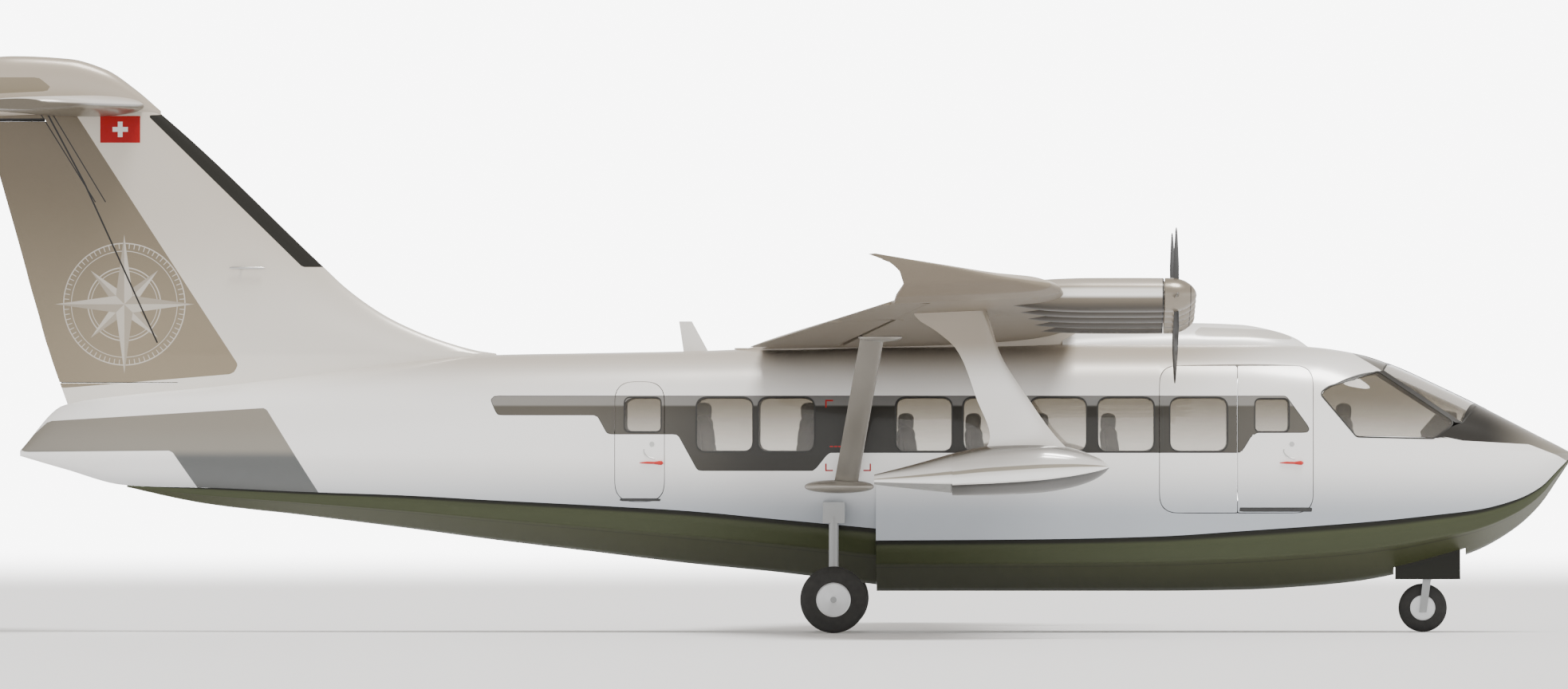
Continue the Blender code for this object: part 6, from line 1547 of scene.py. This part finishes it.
def blown_pad(half_sizes, channels=()):
    """A pad's points and faces about its own middle, blown up as cloth from a crowned form.

    Across, the form is a superellipse of power 5 whose sides draw in by 4 percent between its corners.
    Along its thickness it is the cosine of v, crowned in the middle, and its reach is sin(v) to the
    power 0.28. A sewn channel is a groove that falls off with the square of the distance from its line.
    """
    v, u = np.meshgrid(np.linspace(0.0, math.pi, 15)[1:-1], np.linspace(0, 2 * math.pi, 41)[:-1],
                       indexing="ij")
    a, b = superellipse(u, 5.0)
    reach = np.sin(v) ** 0.28
    draw = 1 - 0.04 * (1 - np.abs(np.sin(2 * u)))
    crown = (1 - (np.abs(a) * reach) ** 2.4) * (1 - (np.abs(b) * reach) ** 2.4)
    x, y, z = -np.cos(v) * (0.72 + 0.28 * crown), a * reach * draw, b * reach * draw
    form = skin("pad_form", np.stack([x, y, z], -1) * (np.array(half_sizes) - 0.5 * PAD_SWELL),
                cloth.material)
    voxels = form.modifiers.new("voxels", "REMESH")
    voxels.mode, voxels.voxel_size = "VOXEL", PAD_VOXEL
    form.data = bpy.data.meshes.new_from_object(form.evaluated_get(bpy.context.evaluated_depsgraph_get()))
    form.modifiers.clear()
    puff = form.modifiers.new("puff", "CLOTH")
    puff.settings.use_pressure, puff.settings.uniform_pressure_force = True, PAD_PRESSURE
    puff.settings.effector_weights.gravity = 0.0
    for step in range(1, PAD_FRAMES + 1):
        bpy.context.scene.frame_set(step)
    blown = form.evaluated_get(bpy.context.evaluated_depsgraph_get()).data
    start = points_of(form.data)
    move = points_of(blown) - start
    far = np.maximum(np.linalg.norm(move, axis=1, keepdims=True), 1e-9)
    points = start + move * np.minimum(1, PAD_SWELL / far)
    for line in channels:
        groove = 0.008 * np.exp(-((points[:, 2] - line) / 0.016) ** 2)
        points[:, 0] -= groove * np.clip(points[:, 0] / half_sizes[0], 0, 1)
    corners = np.empty(len(form.data.loops), np.int32)
    form.data.loops.foreach_get("vertex_index", corners)
    assert len(corners) == 4 * len(form.data.polygons)
    bpy.data.objects.remove(form)
    bpy.context.scene.frame_set(1)
    return points, corners.reshape(-1, 4)


def pad(name, shape, centre, tilt, facing):
    """A blown pad tilted about Y, turned to face fore or aft and carried to its place."""
    (points, faces), cosine, sine = shape, math.cos(tilt), math.sin(tilt)
    x, y, z = points.T
    place = np.stack([facing * (x * cosine - z * sine), y, x * sine + z * cosine], -1) + centre
    return mesh_piece(name, place, faces[:, ::facing].tolist(), cloth.material)


PAD_SHAPES = {"cushion": blown_pad((0.062, 0.195, 0.21)),
              "back": blown_pad((0.105, 0.19, 0.27), (-0.09, 0.09)),
              "headrest": blown_pad((0.098, 0.135, 0.115))}


def seat(name, x, y, facing, floor, node):
    """One seat: three blown cloth pads, and its shell, legs and rails as one piece."""
    def at(forward, height):
        """A place in the seat, counted forward from its middle and up from the floor."""
        return (x + facing * (forward + SEAT_FORWARD), y, floor + height)
    pads = (("cushion", at(0.09, 0.455), math.pi / 2 + 0.06), ("back", at(-0.170, 0.715), 0.12),
            ("headrest", at(-0.190, 0.985), -0.05))
    for part, centre, tilt in pads:
        piece = pad(f"{name}_{part}", PAD_SHAPES[part], centre, tilt, facing)
        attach(piece, "airframe")
        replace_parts(piece, node)
    side = np.array(((0.27, 0.35), (0.28, 0.375), (-0.10, 0.385), (-0.175, 0.44), (-0.222, 0.90),
                     (-0.245, 0.895), (-0.225, 0.40), (-0.13, 0.345)))
    rings = [np.stack([x + facing * (side[:, 0] + SEAT_FORWARD - k), y + w + 0 * side[:, 0],
                       floor + side[:, 1]], -1)
             for w, k in ((-0.185, 0.008), (-0.17, 0.0), (0.17, 0.0), (0.185, 0.008))]
    parts = [skin("shell", rings, shell_plastic)]
    for offset in (-0.13, 0.13):
        for start, end in (((0.20, 0.355), (0.16, 0.0)), ((-0.08, 0.355), (-0.04, 0.0))):
            leg = np.linspace(at(*start), at(*end), 3) + (0, offset, 0)
            parts.append(rod("leg", leg, (0.013, 0.012, 0.016), steel, 8))
        rail = [np.array(at(f, 0.012)) + (0, offset, 0) for f in (-0.16, 0.0, 0.28)]
        parts.append(rod("rail", rail, (0.011,) * 3, steel, 8))
    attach(join(f"{name}_shell", *parts), "airframe")


def floor_height(x):
    """The height of the floor's level at a place."""
    return [height for first, height in FLOOR if x >= first - 1e-9][-1]


for side, columns_y in SEAT_COLUMNS.items():
    for row, (x, facing) in enumerate(SEAT_ROWS, 1):
        for column, y in enumerate(columns_y, 1):
            seat(f"cabin_seat_{side}_{row}{column}", x, y, facing, floor_height(x), f"cabin_seats_{side}")
for side, sign in SIDES:
    seat(f"crew_seat_{side}", CREW_SEATS[0], sign * CREW_SEATS[1], 1, CREW_FLOOR, "crew_seats")

# The instrument panel carries three glass screens bonded to its aft face, and a control wheel on a
# column stands before each crew seat.
screen = Finish("display_glass")
lines = screen.math("PINGPONG", screen.math("MULTIPLY", screen.axis("Z"), 26.0), 0.5)
screen.set(Base_Color=screen.mix(screen.fade(lines, 0.04, 0.02), (0.010, 0.013, 0.018), (0.05, 0.12, 0.14)),
           Roughness=0.1, Coat_Weight=1.0)
for k, y in enumerate((-0.44, 0.0, 0.44), 1):
    z, w = np.meshgrid(np.linspace(1.975, 2.165, 5), np.linspace(-0.15, 0.15, 7), indexing="ij")
    face_x = 7.27 - (z - 1.95) * 0.16
    outer, inner = (np.stack([face_x - lift, y + w, z], -1) for lift in (0.010, -0.002))
    display = plate(f"panel_display_{k}", outer, inner, screen.material)
    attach(display, "airframe")
for side, sign in SIDES:
    y = sign * CREW_SEATS[1]
    t = np.linspace(-0.35, math.pi + 0.35, 20)
    rim = np.stack([7.02 + 0 * t, y + 0.15 * np.cos(t), 2.10 - 0.11 * np.sin(t)], -1)
    wheel = rod("rim", rim, (0.013,) * 20, panel_black, 10)
    column = rod("column", [(7.02, y, 1.99), (7.04, y, 1.995), (7.24, y, 2.03), (7.26, y, 2.033)],
                 (0.020, 0.016, 0.016, 0.020), steel, 12)
    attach(join(f"control_wheel_{side}", wheel, column), "airframe")

# The wheels stand on a steered nose fork and two cranked main legs. The tyres are treaded rubber on
# two-part alloy rims with a ring of bolts.
tyre = grained("tyre_rubber", (14.0, 4.0), (0.014, 0.014, 0.014), (0.034, 0.033, 0.031), (180.0,), 0.001, 0.5,
               Roughness=0.8)
alloy = grained("wheel_alloy", (10.0,), (0.50, 0.51, 0.52), (0.62, 0.63, 0.64), (120.0,), 0.0005, 0.3,
                Metallic=0.85, Roughness=0.36)
enamel = grained("gear_enamel", (5.0,), (0.26, 0.27, 0.275), (0.33, 0.34, 0.345), (50.0,), 0.0006, 0.3,
                 Roughness=0.35, Metallic=0.2, Coat_Weight=0.4)
for node in ("nose_leg", "nose_fork", "main_leg_left", "main_leg_right"):
    finish_node(node, enamel)
# Columns: node, axle x and y, radius, which is also the axle's height, width
WHEELS = (("nose_wheel", 7.25, 0.0, 0.26668, 0.17), ("main_wheel_left", 0.80, 1.48, 0.36544, 0.25),
          ("main_wheel_right", 0.80, -1.48, 0.36544, 0.25))
WHEEL_SIDES, AXLE_BORE, BOLTS = 72, 0.034, 8


def wheel_ring(name, profile, centre, finish, crease=32):
    """A closed profile of places across and radii, turned all round the axle."""
    turn = np.linspace(0, 2 * math.pi, WHEEL_SIDES, endpoint=False)[:, None]
    across, radius = np.array(profile).T[:, None]
    points = np.stack([radius * np.cos(turn), across + 0 * turn, radius * np.sin(turn)], -1)
    return loop_skin(name, points + centre, finish, crease)


for node, axle_x, axle_y, radius, width in WHEELS:
    half, rim_radius = width / 2, 0.52 * radius
    t = np.linspace(-0.5 * math.pi, 0.5 * math.pi, 49)
    a = np.sin(t)
    across = half * np.sign(a) * np.abs(a) ** 0.75
    crown = rim_radius + (radius - 0.0006 - rim_radius) * np.abs(np.cos(t)) ** 0.42
    groove = 0.008 * sum(np.clip(1 - np.abs(np.abs(across) - place * half) / 0.0045, 0, 1)
                         for place in (0.18, 0.55))
    profile = np.stack([across * (0.94 + 0.06 * np.cos(3 * t)), crown - groove], -1)
    profile = np.concatenate([profile, [(0.72 * half, rim_radius * 0.97), (-0.72 * half, rim_radius * 0.97)]])
    centre = np.array((axle_x, axle_y, radius))
    rubber_ring = wheel_ring(f"{node}_tyre", profile, centre, tyre)
    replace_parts(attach(rubber_ring, node), node)
    dish = [(0.80, 1.00), (0.88, 0.985), (0.86, 0.93), (0.55, 0.86), (0.34, 0.66), (0.32, 0.46), (0.62, 0.36),
            (0.86, 0.30), (0.88, 0.235)]
    rim_profile = [(half * p, rim_radius * r) for p, r in dish]
    rim_profile += [(-half * p, rim_radius * r) for p, r in dish[::-1]]
    rim_profile += [(-0.88 * half, AXLE_BORE), (0.88 * half, AXLE_BORE)]
    parts = [wheel_ring("rim", rim_profile, centre, alloy, 24)]
    for bolt in np.linspace(0, 2 * math.pi, BOLTS, endpoint=False):
        for face in (1, -1):
            spot = centre + (0.57 * rim_radius * math.cos(bolt), 0, 0.57 * rim_radius * math.sin(bolt))
            parts.append(turned("bolt", [(face * half * 0.30, 0.009), (face * (half * 0.33 + 0.008), 0.009),
                                         (face * (half * 0.33 + 0.010), 0.006)], spot, "Y", steel, 6))
    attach(join(f"{node}_rim", *parts), node)
oleo = turned("oleo", [(0.705, 0.058), (0.715, 0.064), (0.745, 0.064), (0.755, 0.058)], (7.30, 0, 0), "Z",
              steel)
link = rod("link", [(7.245, 0, 0.73), (7.19, 0, 0.715), (7.155, 0, 0.70)], (0.014, 0.012, 0.014), steel, 10)
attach(join("nose_leg_collar", oleo, link), "airframe")
